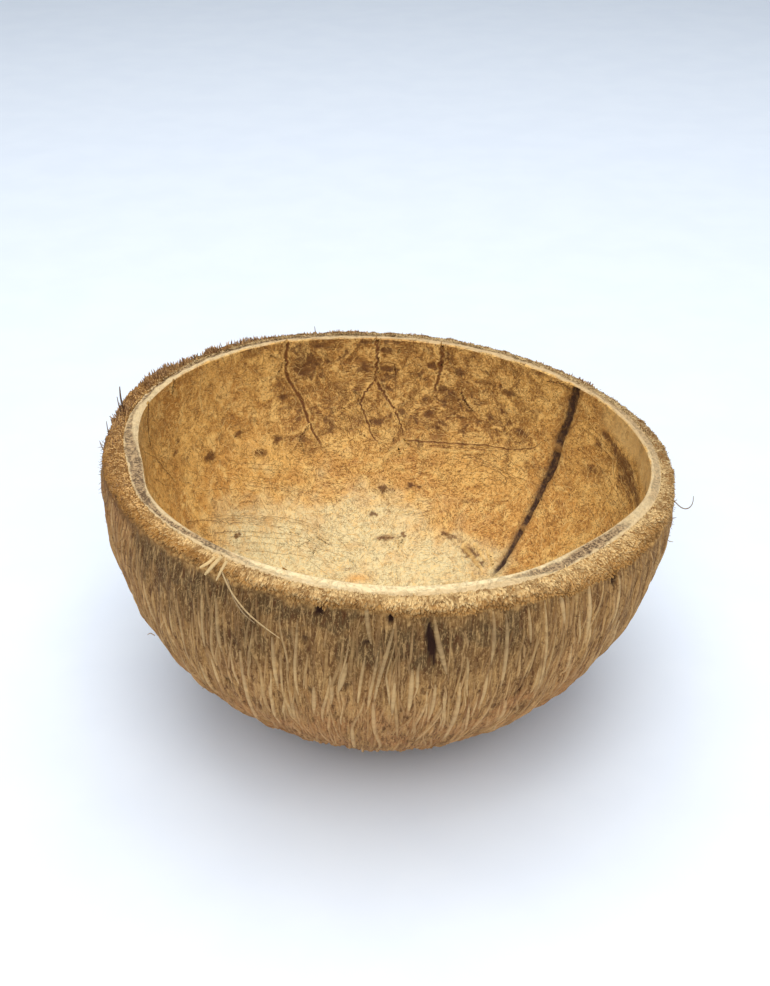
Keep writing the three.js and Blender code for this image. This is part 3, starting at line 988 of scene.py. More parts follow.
def buildLooseFibres():
    steps, sides = looseLook["steps"], looseLook["sides"]
    fibres = [(radius, tone, np.array(line)) for radius, tone, line in looseFibres]
    for radius, tone, line in drapedFibres:
        turn, polar, lift = np.array(line).T
        fibres.append((radius, tone, bodyPoint(np.radians(turn), np.radians(polar), lift)))
    thinning = 1 - looseLook["thinning"] * np.linspace(0, 1, steps) ** 4
    tubes = [tubeAlong(smoothPath(line, steps), radius * thinning, sides) for radius, _, line in fibres]
    quads = repeated(gridQuads(steps, sides), len(fibres), steps * sides)
    numbers = {"tone": np.repeat([tone for _, tone, _ in fibres], steps * sides)}
    piece = makeMesh("looseFibres", np.concatenate(tubes).reshape(-1, 3), quads, None, numbers)
    kit = Kit("looseFibre", 0.7)
    fine = kit.noise(kit.place(), 1100, 3, 0.6)
    colour = kit.mix(kit.read("tone"), looseLook["dark"], looseLook["pale"])
    dress(piece, kit.finish(kit.mix(kit.fit(fine, 0.45, 0.72, 0, 0.4), colour, husk["brown"])))


# shell: the hollow, its seam and the cut edge
shell = {
    "columns": 400,
    "seamColumns": 54,
    "seamSpan": 5.5,          # degrees each side of the seam that get the fine columns
    "insideRows": 170,
    "insideEnd": 0.012,       # the last ring inside, as a share of the sweep from the bottom to the rim
    "rimRows": 13,
    "outsideRows": 5,
    "outsideStart": 0.05,     # the first ring outside, in the same way
    # relief and raggedness: height, cells round the nut, cells along it, seed
    "relief": [(0.22, 12, 7, 73), (0.077, 40, 22, 74), (0.05, 150, 62, 77)],
    "blotches": [(3.5, 36, 16, 75), (2.5, 110, 50, 76)],
    "stainDrift": [(0.9, 130, 60, 85), (0.54, 130, 60, 86)],
    "creamRagged": (0.3, 90, 90, 78),
    "rimGrooves": [(0.14, 150, 4, 81), (0.08, 380, 6, 82)],
    "rimWobble": [(0.07, 90, 2, 83), (0.09, 320, 4, 84)],
    "rimWorn": (0.1, 130, 2, 79),
    "edgeRound": 0.35,        # mm, the inner edge of the cut is worn round
    "greySunk": 0.12,
    # stretches of turn with the softness of their ends, and the sweeps or mm from the rim they fade over
    # the upper back wall and back corner are browner, and darker still as painted shade
    "backTop": (46, 122, 10),
    "backTopSweeps": (58, 68),
    "backCorner": (97, 130, 4),
    "backCornerReach": (4.5, 1.5),
    "sideSweeps": (62, 84),
    "sideBrown": 0.45,
    "streaks": (8, 24, 2.5),
    "streakSweeps": [(66, 71), (83, 79)],
    # pale patches near the rim: painted sheen
    "lit": [(0.35, 172, 232, 10), (0.5, 294, 340, 8)],
    "litReach": (9, 2.5),
    "mottledSweeps": (50, 60),
    "matte": (-26, 25, 7),
    "matteReach": (8.5, 5.5),
    "creamReach": (0.6, 0.2),
    "calm": (122, 185, 12),
    "wornRim": (-5, 150, 10),
    "freshRim": (238, 306, 12),
    "agedRim": (2, 128, 10),
    "orangeSpot": (107, 3.6, 27, 1.3),     # turn, half width in mm, sweep, half height in degrees
    # how far from the middle, in mm, the floor is pale, by turn: partly a paler bottom, partly a painted
    # highlight of its polished sheen
    "bleachedAndLitTurns": [0, 50, 75, 100, 150, 200, 250, 300],
    "bleachedAndLitRadii": [37, 37, 41, 44, 47, 46, 44, 40],
    "tan": srgb(233, 182, 101),
    "tanLight": srgb(238, 196, 120),
    "tanDark": srgb(195, 140, 69),
    "tanDeep": srgb(112, 70, 26),
    "umber": srgb(120, 79, 33),
    "stain": srgb(96, 58, 24),
    # pale cream floor: partly the shell's own paler tone, partly painted highlight
    "bleachedAndLit": srgb(229, 214, 166),
    "matteTan": srgb(222, 186, 122),
    "orange": srgb(218, 156, 70),
    "vein": srgb(98, 54, 16),
    "cream": srgb(243, 220, 172),
    "creamDark": srgb(214, 182, 128),
    "outerEdge": srgb(204, 172, 124),
    "grey": srgb(186, 154, 112),
    "greyDark": srgb(96, 72, 44),
    "seam": srgb(54, 30, 18),
    "seamHalo": srgb(120, 86, 46),
}
seam = {
    # turn of its middle and its half width in mm, by sweep
    "sweeps": [30, 36.6, 39.2, 42.7, 47.1, 55.4, 60.7, 65.6, 71.2, 74.3, 80.3, 84.6, 90],
    "turns": [37.3, 37.3, 37.1, 37.9, 38.6, 39.0, 39.2, 38.7, 38.6, 38.9, 37.8, 37.4, 36.7],
    "halfWidths": [0.4, 0.6, 0.65, 0.7, 0.75, 0.85, 0.85, 0.95, 1.05, 1.1, 1.2, 1.2, 1.1],
    "middleTurn": 39.0,
    "endSweep": 35.0,
    "depth": 0.45,
    "raggedAcross": (0.26, 300, 90, 71),
    "raggedAlong": (0.22, 40, 30, 72),
    "gaps": [(72.4, 1.1), (50.0, 0.7)],   # sweep and half length, in degrees, where it all but closes
}
# brown stains on the wall: turn, sweep, half size across and along in mm, strength
stains = [
    (90, 87, 1.5, 0.8, 1), (90, 82, 1.6, 1.0, 0.95), (105, 84, 1.1, 0.8, 0.7), (111, 83, 3.5, 4.4, 0.62),
    (112, 87, 2.2, 2.0, 0.5), (108, 88, 2.7, 1.1, 0.55), (96, 82, 1.6, 1.7, 0.6), (80, 88, 1.3, 0.7, 0.6),
    (78, 84, 1.3, 1.0, 0.7), (81, 81, 1.1, 0.7, 0.7), (80, 80, 1.1, 0.7, 0.55), (71, 83, 1.4, 1.1, 0.8),
    (75, 78, 1.1, 1.1, 0.95), (72, 77, 1.2, 0.8, 0.75), (71, 76, 1.2, 0.7, 0.8), (79, 75, 1.1, 0.8, 0.7),
    (78, 71, 1.1, 0.8, 0.85), (86, 71, 1.1, 1.1, 0.7), (86, 73, 0.8, 0.8, 0.6), (89, 70, 0.7, 1.1, 0.6),
    (94, 68, 2.4, 0.9, 0.7), (76, 68, 2.5, 0.8, 0.65), (88, 64, 1.6, 1.4, 0.5), (111, 71, 1.4, 0.8, 0.5),
    (69, 90, 0.8, 0.6, 0.5), (70, 81, 1.4, 0.6, 0.5), (67, 78, 0.8, 0.7, 0.5), (66, 77, 0.8, 0.7, 0.55),
    (85, 83, 0.7, 0.7, 0.5), (68, 86, 1.9, 0.8, 0.4), (68, 68, 1.7, 0.7, 0.4), (56, 81, 1.7, 1.1, 0.7),
    (60, 74, 2.0, 0.8, 0.6), (51, 72, 2.0, 1.1, 0.7), (63, 82, 1.7, 0.8, 0.5), (57, 76, 1.4, 0.8, 0.5),
    (154, 76, 0.9, 0.7, 0.75), (156, 74, 1.1, 0.5, 0.6), (144, 68, 1.7, 1.0, 0.8), (133, 70, 1.2, 0.8, 0.8),
    (122, 66, 1.4, 0.7, 0.8), (118, 76, 1.4, 0.5, 0.7), (128, 64, 1.8, 0.8, 0.6), (140, 71, 1.3, 0.8, 0.5),
    (152, 71, 1.1, 1.0, 0.5), (126, 80, 1.5, 0.8, 0.4), (136, 78, 1.2, 0.8, 0.35),
    (150, 49, 0.6, 0.4, 0.95), (148, 49, 0.5, 0.3, 0.8), (84, 39, 0.7, 0.6, 0.8), (83, 38, 0.7, 0.6, 0.8),
    (90, 38, 2.1, 0.9, 0.6), (90, 51, 2.2, 1.1, 0.65), (95, 44, 0.8, 0.7, 0.9), (82, 52, 0.8, 0.8, 0.7),
    (79, 52, 0.8, 0.5, 0.6), (103, 60, 1.1, 0.7, 0.5), (26, 72, 3.0, 1.8, 0.55), (26, 79, 2.0, 1.3, 0.4),
    (19.5, 81, 2.6, 1.5, 0.75), (15.5, 80, 3.0, 1.8, 0.8), (11, 78.8, 3.0, 2.0, 0.8),
    (6.8, 78, 3.0, 1.7, 0.75), (2, 77.6, 3.0, 1.5, 0.7), (358, 76.8, 2.4, 1.0, 0.75),
    (357, 83, 2.6, 0.9, 0.6), (24, 82, 2.2, 1.0, 0.8), (50.4, 37.3, 2.0, 0.9, 0.6), (65, 35, 1.7, 0.8, 0.3),
    (105, 74, 1.4, 1.1, 0.4), (42, 65, 2.4, 1.6, 0.4), (61, 51, 2.8, 1.1, 0.35), (31, 60, 2.6, 1.5, 0.35),
    (54, 81, 1.4, 0.8, 0.5), (49, 89, 2.0, 0.8, 0.55), (200, 70, 1.8, 1.0, 0.6), (235, 80, 1.5, 1.0, 0.7),
    (262, 66, 2.0, 1.1, 0.6), (300, 74, 1.7, 1.0, 0.7), (330, 62, 1.6, 1.1, 0.6), (14, 76.5, 2.4, 1.0, 0.6),
    (6, 75, 3.0, 0.9, 0.6), (53, 38.4, 2.6, 1.0, 0.8), (47, 36.4, 1.6, 0.8, 0.7), (64.5, 41, 2.6, 0.8, 0.7),
    (109, 30, 2.4, 0.6, 0.35), (96, 28.6, 2.8, 0.6, 0.35),
]
# grooved veins in the wall: width in mm, then turns and sweeps from the rim down
veins = [
    (0.9, [(115.2, 90), (116.5, 85.7), (116.7, 83.6), (116.2, 80.3), (115.4, 78.1), (113.4, 75.1),
        (112.9, 71.5), (111.9, 67.8), (110.9, 65.8), (110.0, 64.0), (109.1, 61.7), (108.9, 59.9)]),
    (0.5, [(116.7, 84.9), (117.8, 83.5), (119.0, 81.9)]),
    (0.4, [(120.5, 87.0), (118.6, 86.0), (116.8, 86.0)]),
    (0.45, [(112.1, 68.1), (114.2, 66.4), (115.7, 64.8), (117.3, 63.3), (118.5, 62.2)]),
    (0.35, [(115.7, 64.8), (115.2, 63.0), (115.0, 61.4)]),
    (0.85, [(92.7, 90), (92.5, 87.0), (92.6, 84.0), (93.0, 81.0), (93.1, 79.1)]),
    (0.6, [(93.1, 79.1), (94.9, 77.0), (96.5, 74.6), (97.3, 73.3), (97.0, 71.7), (96.1, 69.8), (95.4, 67.6),
        (94.9, 65.5), (93.7, 63.6), (92.0, 62.7), (90.3, 63.2)]),
    (0.4, [(99.0, 75.9), (98.1, 75.2), (97.0, 74.5)]),
    (0.7, [(93.0, 78.9), (91.8, 76.9), (90.3, 74.7), (88.7, 72.6), (87.5, 70.8), (86.5, 68.6), (85.6, 66.3),
        (84.6, 64.0)]),
    (1.0, [(75.7, 90), (75.5, 87.4), (75.8, 84.7), (75.8, 82.0), (76.7, 79.2), (77.1, 76.9), (77.4, 75.6)]),
    (0.6, [(69.8, 78.1), (68.6, 76.1), (66.8, 74.6), (65.1, 73.6)]),
    (0.5, [(84.6, 63.5), (81.8, 63.4), (77.6, 64.0), (73.3, 64.2), (69.1, 64.6), (62.1, 65.7), (56.4, 66.6),
        (52.4, 67.1), (48.4, 68.4), (44.8, 70.6), (42.6, 73.0), (41.7, 75.3)]),
    (0.34, [(77.1, 63.0), (72.5, 63.3), (68.0, 63.8), (61.9, 64.7), (55.8, 65.6), (50.6, 66.6)]),
    (0.35, [(86.8, 87.4), (86.9, 86.6), (87.2, 85.5)]),
    (0.35, [(88.0, 83.4), (87.6, 79.7), (87.8, 76.0), (87.6, 74.5)]),
    (0.3, [(102.5, 85.1), (101.9, 82.8), (101.6, 81.0)]),
    (0.6, [(163.6, 90), (165.9, 86.0), (167.2, 82.0), (167.2, 79.3)]),
    (0.5, [(150.8, 90), (152.2, 86.6)]),
    (0.45, [(166.2, 77.3), (163.4, 72.9), (160.4, 68.0)]),
    (0.35, [(154.7, 55.3), (148.3, 52.3), (143.5, 50.3), (138.5, 48.2), (134.2, 46.6)]),
    (0.35, [(156.9, 52.9), (150.5, 50.6), (143.6, 48.1), (137.9, 45.5), (137.6, 44.4)]),
    (0.35, [(127.8, 46.1), (123.0, 44.2), (117.3, 41.7), (113.3, 40.0)]),
    (0.3, [(119.4, 40.1), (115.0, 36.9)]),
    (0.35, [(120.6, 37.9), (123.8, 36.1), (128.6, 34.3)]),
    (0.3, [(128.8, 39.2), (125.2, 39.5), (121.8, 39.7)]),
    (0.8, [(83.4, 37.4), (83.9, 36.4), (84.5, 35.4)]),
    (0.3, [(145.8, 52.2), (138.4, 50.2), (131.8, 47.6), (126.4, 45.0)]),
    (0.5, [(38.6, 88.6), (41.8, 88.8), (46.3, 87.6)]),
    (0.7, [(250, 90), (252.5, 82), (249, 74), (251, 66)]),
    (0.5, [(251, 76), (255, 70), (254, 65)]),
    (0.8, [(312, 90), (310, 80), (314, 71), (311, 63)]),
    (0.6, [(205, 90), (208, 80), (206, 71), (210, 63)]),
]
# paler raised lines in the same way
paleLines = [
    (1.0, [(84.6, 63.8), (87.2, 61.8), (89.6, 59.7), (91.8, 57.8), (94.7, 55.2)]),
    (0.8, [(85.2, 62.7), (87.8, 60.8), (90.5, 58.6), (93.1, 56.8)]),
    (0.6, [(83.7, 62.6), (85.4, 60.6), (87.1, 59.0)]),
    (0.6, [(77.0, 62.3), (70.8, 62.5), (64.7, 63.3), (58.0, 64.7)]),
    (0.9, [(57.6, 39.4), (52.3, 37.6), (46.4, 36.1), (41.1, 34.7)]),
    (0.7, [(53.2, 41.0), (48.7, 39.1), (43.7, 37.5)]),
    (0.7, [(46.4, 40.4), (42.5, 38.8), (38.7, 37.2)]),
    (0.5, [(90.8, 72.5), (88.5, 70.8), (85.8, 72.8), (83.1, 74.8)]),
]
# the cut edge by turn: where its cream ends, where its grey ends, both from inside to outside, how grey
bands = [
    (0, 0.25, 0.95, 0.5), (20, 0.35, 1, 0.55), (40, 0.45, 1, 0.6), (60, 0.55, 1, 0.6), (90, 0.45, 0.9, 0.8),
    (120, 0.36, 0.8, 0.95), (140, 0.38, 0.76, 0.95), (150, 0.42, 0.76, 0.95), (160, 0.42, 0.7, 0.95),
    (165, 0.52, 0.7, 0.85), (170, 0.56, 0.82, 0.85), (175, 0.56, 0.87, 0.85), (180, 0.32, 0.9, 0.9),
    (185, 0.18, 0.9, 0.9), (190, 0.1, 0.9, 0.9), (196, 0.02, 0.86, 0.95), (202, 0.04, 0.86, 1),
    (206, 0.1, 0.84, 1), (210, 0.22, 0.8, 1), (215, 0.36, 0.75, 0.95), (222, 0.38, 0.74, 0.95),
    (227, 0.3, 0.7, 0.95), (230, 0.02, 0.56, 0.9), (236, 0.02, 0.5, 0.85), (240, 0.25, 0.56, 0.7),
    (250, 0.5, 0.72, 0.4), (260, 0.5, 0.7, 0.35), (266, 0.5, 0.7, 0), (291, 0.3, 0.4, 0),
    (295, 0.2, 0.45, 0.7), (300, 0.2, 0.7, 0.85), (305, 0.26, 0.88, 0.95), (310, 0.3, 0.88, 0.95),
    (315, 0.16, 0.85, 1), (320, 0.1, 0.84, 1), (325, 0.08, 0.78, 0.95), (330, 0.15, 0.75, 0.8),
    (333, 0.2, 0.7, 0.2), (342, 0.2, 0.7, 0.1), (345, 0.22, 0.88, 0.5), (352, 0.2, 0.8, 0.6),
]


# evenly spaced turns, with finer ones at the seam
def shellTurns():
    span, middle = math.radians(shell["seamSpan"]), math.radians(seam["middleTurn"])
    fine = np.linspace(-span, span, shell["seamColumns"], endpoint=False)
    coarse = np.linspace(span, fullTurn - span, shell["columns"], endpoint=False)
    return middle + np.concatenate([fine, coarse])


def acrossSeam(turn, sweep):
    middle = np.radians(np.interp(np.degrees(sweep), seam["sweeps"], seam["turns"]))
    return turnGap(turn, middle) * nut["hollowRadius"] * np.sin(sweep)


# how strongly the seam shows, 0 to 1, and the soft brown to either side of it
def seamShape(turn, sweep):
    degrees, down = np.degrees(sweep), sweep / quarterTurn
    frayed = latticeNoise(turn * 6, down, seam["raggedAcross"])
    frayed += latticeNoise(turn, down, seam["raggedAlong"])
    reach = np.abs(acrossSeam(turn, sweep)) / np.interp(degrees, seam["sweeps"], seam["halfWidths"]) + frayed
    ending = smoothStep(seam["endSweep"] - 1, seam["endSweep"] + 3, degrees)
    inside = smoothStep(1.25, 0.75, reach) * ending
    for gapSweep, gapHalf in seam["gaps"]:
        inside = inside * (0.35 + 0.65 * smoothStep(0.4, 1.4, np.abs(degrees - gapSweep) / gapHalf))
    return inside, smoothStep(3.2, 1.0, reach) * ending


# a point on the wall with its relief
def wallAt(turn, sweep, raised=0.0):
    down = sweep / quarterTurn
    held = smoothStep(0, 0.12, 1 - down) * smoothStep(0, 0.2, down)
    lift = latticeNoise(turn, down, *shell["relief"]) * held + raised
    return wallPoint(turn, sweep) + wallNormal(turn, sweep) * lift[..., None]


def stainAt(turn, sweep):
    field = np.zeros(np.broadcast(turn, sweep).shape)
    reach = nut["hollowRadius"] * np.sin(sweep)
    down = sweep / quarterTurn
    driftAcross, driftAlong = (latticeNoise(turn, down, drift) for drift in shell["stainDrift"])
    for stainTurn, stainSweep, wide, tall, strength in stains:
        across = (turnGap(turn, math.radians(stainTurn)) * reach + driftAcross) / (1.2 * wide)
        along = ((sweep - math.radians(stainSweep)) * nut["hollowRadius"] + driftAlong) / tall
        field = np.maximum(field, strength * np.exp(-0.75 * (across ** 2 + along ** 2)))
    return field


# everything the shell's shader reads about a place on the wall
def wallLook(turn, sweep):
    down, degrees = sweep / quarterTurn, np.degrees(sweep)
    toRim = (quarterTurn - sweep) * nut["hollowRadius"]
    radius = nut["hollowRadius"] * np.sin(sweep)
    blotches = latticeNoise(turn, down, *shell["blotches"])
    edge = np.interp(np.degrees(turn) % 360, shell["bleachedAndLitTurns"], shell["bleachedAndLitRadii"], period=360)
    seamInside, seamHalo = seamShape(turn, sweep)
    # upper back wall and back corner: browner shell with painted shade
    backTop = np.maximum(
        between(turn, *shell["backTop"]) * smoothStep(*shell["backTopSweeps"], degrees + blotches),
        between(turn, *shell["backCorner"]) * smoothStep(*shell["backCornerReach"], toRim + 0.5 * blotches))
    sides = shell["sideBrown"] * smoothStep(*shell["sideSweeps"], degrees + blotches)
    streaks = between(turn, *shell["streaks"])
    for ramp in shell["streakSweeps"]:
        streaks = streaks * smoothStep(*ramp, degrees)
    lit = stretches(turn, shell["lit"]) * smoothStep(*shell["litReach"], toRim + 0.5 * blotches)
    spotTurn, spotWide, spotSweep, spotTall = shell["orangeSpot"]
    spotAcross = turnGap(turn, math.radians(spotTurn)) * radius / spotWide
    creamEnd = toRim + latticeNoise(turn, down, shell["creamRagged"]) + between(turn, *shell["wornRim"])
    return {
        "stain": stainAt(turn, sweep),
        "seam": seamInside,
        "halo": seamHalo,
        # pale floor, partly paler shell and partly painted highlight, with the painted sheen near the rim
        "bleachedAndLit": np.maximum(smoothStep(edge + 6, edge - 7, radius + blotches), lit),
        "brownedAndShaded": np.clip(np.maximum(backTop, sides) + 0.5 * streaks, 0, 1),
        "mottled": np.maximum(backTop, 0.3 * smoothStep(*shell["mottledSweeps"], degrees)),
        "matte": between(turn, *shell["matte"]) * smoothStep(*shell["matteReach"], toRim + 0.3 * blotches),
        "orange": 0.8 * np.exp(-(spotAcross ** 2 + ((degrees - spotSweep) / spotTall) ** 2)),
        "cream": smoothStep(*shell["creamReach"], creamEnd),
        "calm": between(turn, *shell["calm"]),
        "grey": 0 * radius,
        "outer": 0 * radius,
    }


# how grey the cut edge is, and how much of the outer band's tone it has
def rimLook(turn, across):
    turns, *rows = np.array(bands).T
    creamEnd, greyEnd, strength = (np.interp(np.degrees(turn) % 360, turns, row, period=360) for row in rows)
    reach = across + latticeNoise(turn, across, *shell["rimWobble"])
    grey = smoothStep(creamEnd - 0.05, creamEnd + 0.06, reach)
    grey *= smoothStep(greyEnd + 0.06, greyEnd - 0.05, reach)
    aged = 0.55 - 0.55 * between(turn, *shell["freshRim"])
    aged = np.maximum(aged, 0.9 * between(turn, *shell["agedRim"]))
    return grey * strength, np.maximum(smoothStep(greyEnd - 0.05, greyEnd + 0.1, reach) * 0.7, aged)


def buildShell():
    turn, thickness = shellTurns(), nut["shellThickness"]
    outSteps = np.linspace(shell["outsideStart"], 1, shell["outsideRows"])
    inSteps = np.linspace(1, shell["insideEnd"], shell["insideRows"])
    outTurn, outSweep = ringGrid(turn, outSteps * quarterTurn)
    rimTurn, across = ringGrid(turn, np.linspace(1, 0, shell["rimRows"])[1:])
    inTurn, inSweep = ringGrid(turn, inSteps * quarterTurn)
    flare = (edgeWidthAt(outTurn) - thickness) * smoothStep(0.9, 1, outSweep / quarterTurn)
    outer = wallPoint(outTurn, outSweep, thickness + flare, 1.0)
    rim = wallPoint(rimTurn, quarterTurn, across * edgeWidthAt(rimTurn), across)
    grooves = latticeNoise(rimTurn, across, *shell["rimGrooves"]) * smoothStep(0, 0.2, across)
    edges = smoothStep(0.16, 0.0, across) + smoothStep(0.86, 1.0, across)
    grey, outerBand = rimLook(rimTurn, across)
    rim[..., 2] += grooves - shell["edgeRound"] * edges - shell["greySunk"] * grey
    look = wallLook(inTurn, inSweep)
    wall = wallAt(inTurn, inSweep, -seam["depth"] * look["seam"])
    wall[0, :, 2] -= shell["edgeRound"]
    worn = between(rimTurn, *shell["wornRim"]) * (0.12 + latticeNoise(rimTurn, across, shell["rimWorn"]))
    cream = smoothStep(worn - 0.06, worn + 0.08, across + 0.06)
    onRim = {"cream": cream, "grey": grey, "outer": outerBand}
    numbers = {key: np.concatenate([0 * outTurn, onRim.get(key, 0 * rimTurn), values])
               for key, values in look.items()}
    middles = [wallPoint(np.zeros(1), np.zeros(1), depth) for depth in (thickness, 0.0)]
    rings = np.concatenate([outer, rim, wall])
    piece = makeBowl("shellBowl", rings, middles, numbers, middleValues={"bleachedAndLit": (0, 1)})
    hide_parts("shell")
    dress(piece, shellFinish)


def shellMaterial():
    kit = Kit("coconutShellInside", 0.55, 0.35)
    place = kit.place()
    clouds = kit.noise(place, 60, 3, 0.55, 0.6)
    mottles = kit.noise(place, 240, 5, 0.66, 0.8)
    grit = kit.noise(place, 760, 4, 0.65, 0.4)
    swirl = kit.noise(place, 85, 2, 0.5)
    specks = kit.noise(place, 300, 3, 0.6, 0.6)
    sand = kit.noise(place, 1900, 3, 0.7)
    # short strokes of fibre that lie every way, and thin creases between them
    strokesA = kit.noise(kit.stretch(place, (480, 1900, 1900), (0.3, 0.2, 0.5)), 1.0, 3, 0.65, 1.6)
    strokesB = kit.noise(kit.stretch(place, (1900, 480, 1500), (0.2, 0.5, -0.4)), 1.0, 3, 0.65, 1.6)
    hairs = kit.mix(kit.fit(swirl, 0.46, 0.54), strokesA, strokesB)
    creaseNoise = kit.noise(place, 330, 4, 0.6, 1.6)
    creases = kit.fit(kit.math("ABSOLUTE", kit.math("SUBTRACT", creaseNoise, 0.5)), 0.0, 0.022, 1.0, 0.0)
    brushed = kit.fit(kit.noise(kit.stretch(place, (260, 260, 60)), 1.0, 3, 0.6, 0.6), 0.35, 0.6, 0.55, 0.9)
    bleachedAndLit, stain, mark, pale = (kit.read(key) for key in ("bleachedAndLit", "stain", "mark", "pale"))
    rough = kit.math("SUBTRACT", 1.0, kit.math("MULTIPLY", kit.read("calm"), 0.6))
    darkHairs = kit.times(kit.fit(hairs, 0.48, 0.36, 0, 0.8), kit.fit(bleachedAndLit, 0, 1, 1, 0.5))
    ragged = kit.math("MULTIPLY", kit.math("SUBTRACT", grit, 0.5), 1.5)
    blots = kit.times(kit.fit(kit.math("ADD", stain, ragged), 0.3, 0.62, 0, 0.8), kit.fit(stain, 0.02, 0.2))
    mottling = kit.times(kit.read("mottled"), kit.fit(specks, 0.57, 0.65, 0, 0.75))
    # pale raised lines, and painted highlight on the two ridges of each grooved vein
    paleAndHighlitCrest = kit.math("MAXIMUM", kit.times(mark, pale), kit.math("SUBTRACT", 0.0, mark, True))
    cream = kit.mix(kit.fit(grit, 0.42, 0.66, 0, 0.6), shell["cream"], shell["creamDark"])
    cream = kit.mix(kit.read("outer"), cream, shell["outerEdge"])
    sandy = kit.math("ADD", kit.times(sand, 0.6), kit.times(grit, 0.4))
    colour = kit.coats(
        kit.mix(kit.fit(clouds, 0.36, 0.64), shell["tanDark"], shell["tan"]),
        (kit.fit(mottles, 0.5, 0.62, 0, 0.75), shell["tanLight"]),
        (kit.fit(mottles, 0.48, 0.36, 0, 0.8), shell["tanDark"]),
        # browned places: browner shell, with painted shade on the upper back wall
        (kit.times(kit.read("brownedAndShaded"), kit.fit(mottles, 0.58, 0.42, 0.1, 0.75)), shell["umber"]),
        # pale floor and rim patches: partly paler shell, partly painted highlight and sheen
        (kit.times(bleachedAndLit, kit.fit(mottles, 0.34, 0.56, 0.6, 0.97)), shell["bleachedAndLit"]),
        (kit.read("orange"), shell["orange"]),
        (kit.fit(hairs, 0.51, 0.63, 0, 0.6), shell["tanLight"]),
        (kit.times(darkHairs, rough), shell["tanDeep"]),
        (kit.times(kit.fit(grit, 0.55, 0.68, 0, 0.45), rough), shell["tanDeep"]),
        (kit.times(creases, kit.fit(bleachedAndLit, 0, 1, 0.6, 0.12)), shell["tanDeep"]),
        (kit.times(kit.read("matte"), brushed), shell["matteTan"]),
        # stains: a soft brown halo round crisp, ragged dark
        (kit.times(kit.fit(stain, 0.06, 0.6, 0, 0.8), kit.fit(mottles, 0.6, 0.4, 0.35, 1)), shell["umber"]),
        (kit.math("MAXIMUM", blots, mottling), shell["stain"]),
        (kit.times(kit.read("halo"), 0.5), shell["seamHalo"]),
        (kit.times(kit.read("seam"), kit.fit(grit, 0.7, 0.4, 0.65, 1.0)), shell["seam"]),
        # veins: dark in the groove, the vein's own brown deepened by painted shade; paler on a raised line,
        # and painted highlight on the ridges beside each groove
        (kit.times(kit.math("SUBTRACT", mark, pale, True), 0.9), shell["vein"]),
        (kit.times(paleAndHighlitCrest, 0.6), shell["tanLight"]),
        # the cut edge
        (kit.read("cream"), cream),
        (kit.read("grey"), kit.mix(kit.fit(sandy, 0.45, 0.56), shell["greyDark"], shell["grey"])))
    kit.link(kit.fit(mottles, 0.3, 0.7, 0.46, 0.62), kit.shader.inputs["Roughness"])
    hairBump = kit.bump(hairs, 0.55, 0.0004, kit.bump(mottles, 0.55, 0.0012))
    return kit.finish(colour, kit.bump(creases, 0.6, -0.0003, hairBump))


# the wall's drawn lines: cross section, height in mm, seed, and 1 where they are pale
lineKinds = {
    "shellVeins": (grooved, 0.13, 95, 0),
    "paleRidges": (sharpCrown, 0.16, 96, 1),
    "fineCreases": (grooved, 0.08, 98, 0),
}
lineLook = {"steps": 34, "shake": 0.16, "thinning": 0.5, "unevenness": (0.8, 1.2), "highestSweep": 89.4}
creaseSeed = 97
# bundles of fine creases that run side by side: how many, first turn and sweep, last turn and sweep, spread
creaseBundles = [
    (22, (24, 79), (-22, 72), (8, 6)), (14, (16, 71), (-38, 64), (9, 6)),
    (12, (-18, 77), (-50, 70), (8, 6)), (26, (160, 56), (108, 36), (7, 5)),
    (12, (140, 63), (108, 52), (8, 4)), (9, (128, 42), (112, 30), (10, 4)), (9, (66, 60), (40, 58), (6, 5)),
    (8, (112, 72), (88, 60), (7, 6)), (8, (172, 80), (150, 64), (6, 8)), (10, (214, 66), (188, 50), (9, 8)),
    (9, (300, 60), (268, 48), (12, 8)),
]


def fineCreases():
    rng = np.random.default_rng(creaseSeed)
    lines = []
    for count, first, last, spread in creaseBundles:
        first, last = np.array(first, float), np.array(last, float)
        for _ in range(count):
            shift = rng.normal(0, 0.5, 2) * spread
            start, end = np.sort(rng.uniform(0, 1, 2) + (-0.15, 0.15))
            bow = rng.normal(0, 1.2)
            places = []
            for part in np.linspace(start, end, 5):
                place = first + (last - first) * part + shift
                place[1] += bow * math.sin(math.pi * part) + rng.normal(0, 0.3)
                places.append(tuple(place))
            lines.append((rng.uniform(0.1, 0.3), places))
    return lines


# lays a strip along each line of turns and sweeps on the hollow's wall
def drawLines(name, lines):
    section, height, seed, pale = lineKinds[name]
    rng = np.random.default_rng(seed)
    steps = lineLook["steps"]
    step = np.linspace(0, 1, steps)
    turns, sweeps, widths = np.zeros((3, len(lines), steps))
    for row, (width, places) in enumerate(lines):
        path = smoothPath([(*place, 0) for place in places], steps, 2)
        shake = rng.normal(0, lineLook["shake"], (steps, 2))
        shake[0] = shake[-1] = 0
        turns[row], sweeps[row] = np.radians(path[:, :2] + shake).T
        wide = (1.6 + 1.5 * width) * width ** 0.6
        widths[row] = wide * (1 - lineLook["thinning"] * step) * rng.uniform(*lineLook["unevenness"], steps)
    sweeps = np.minimum(sweeps, math.radians(lineLook["highestSweep"]))
    numbers = wallLook(turns, sweeps)
    numbers["pale"] = pale
    drawn = np.clip([width / 0.6 for width, _ in lines], 0.55, 1)[:, None]
    numbers["ends"] = drawn * np.clip(6 * (1 - step), 0.2, 1)
    heights = height * np.clip(widths, 0.3, 1.2)
    centres, normals = wallAt(turns, sweeps), wallNormal(turns, sweeps)
    dress(layStrips(name, centres, normals, widths, heights, section, numbers), shellFinish)


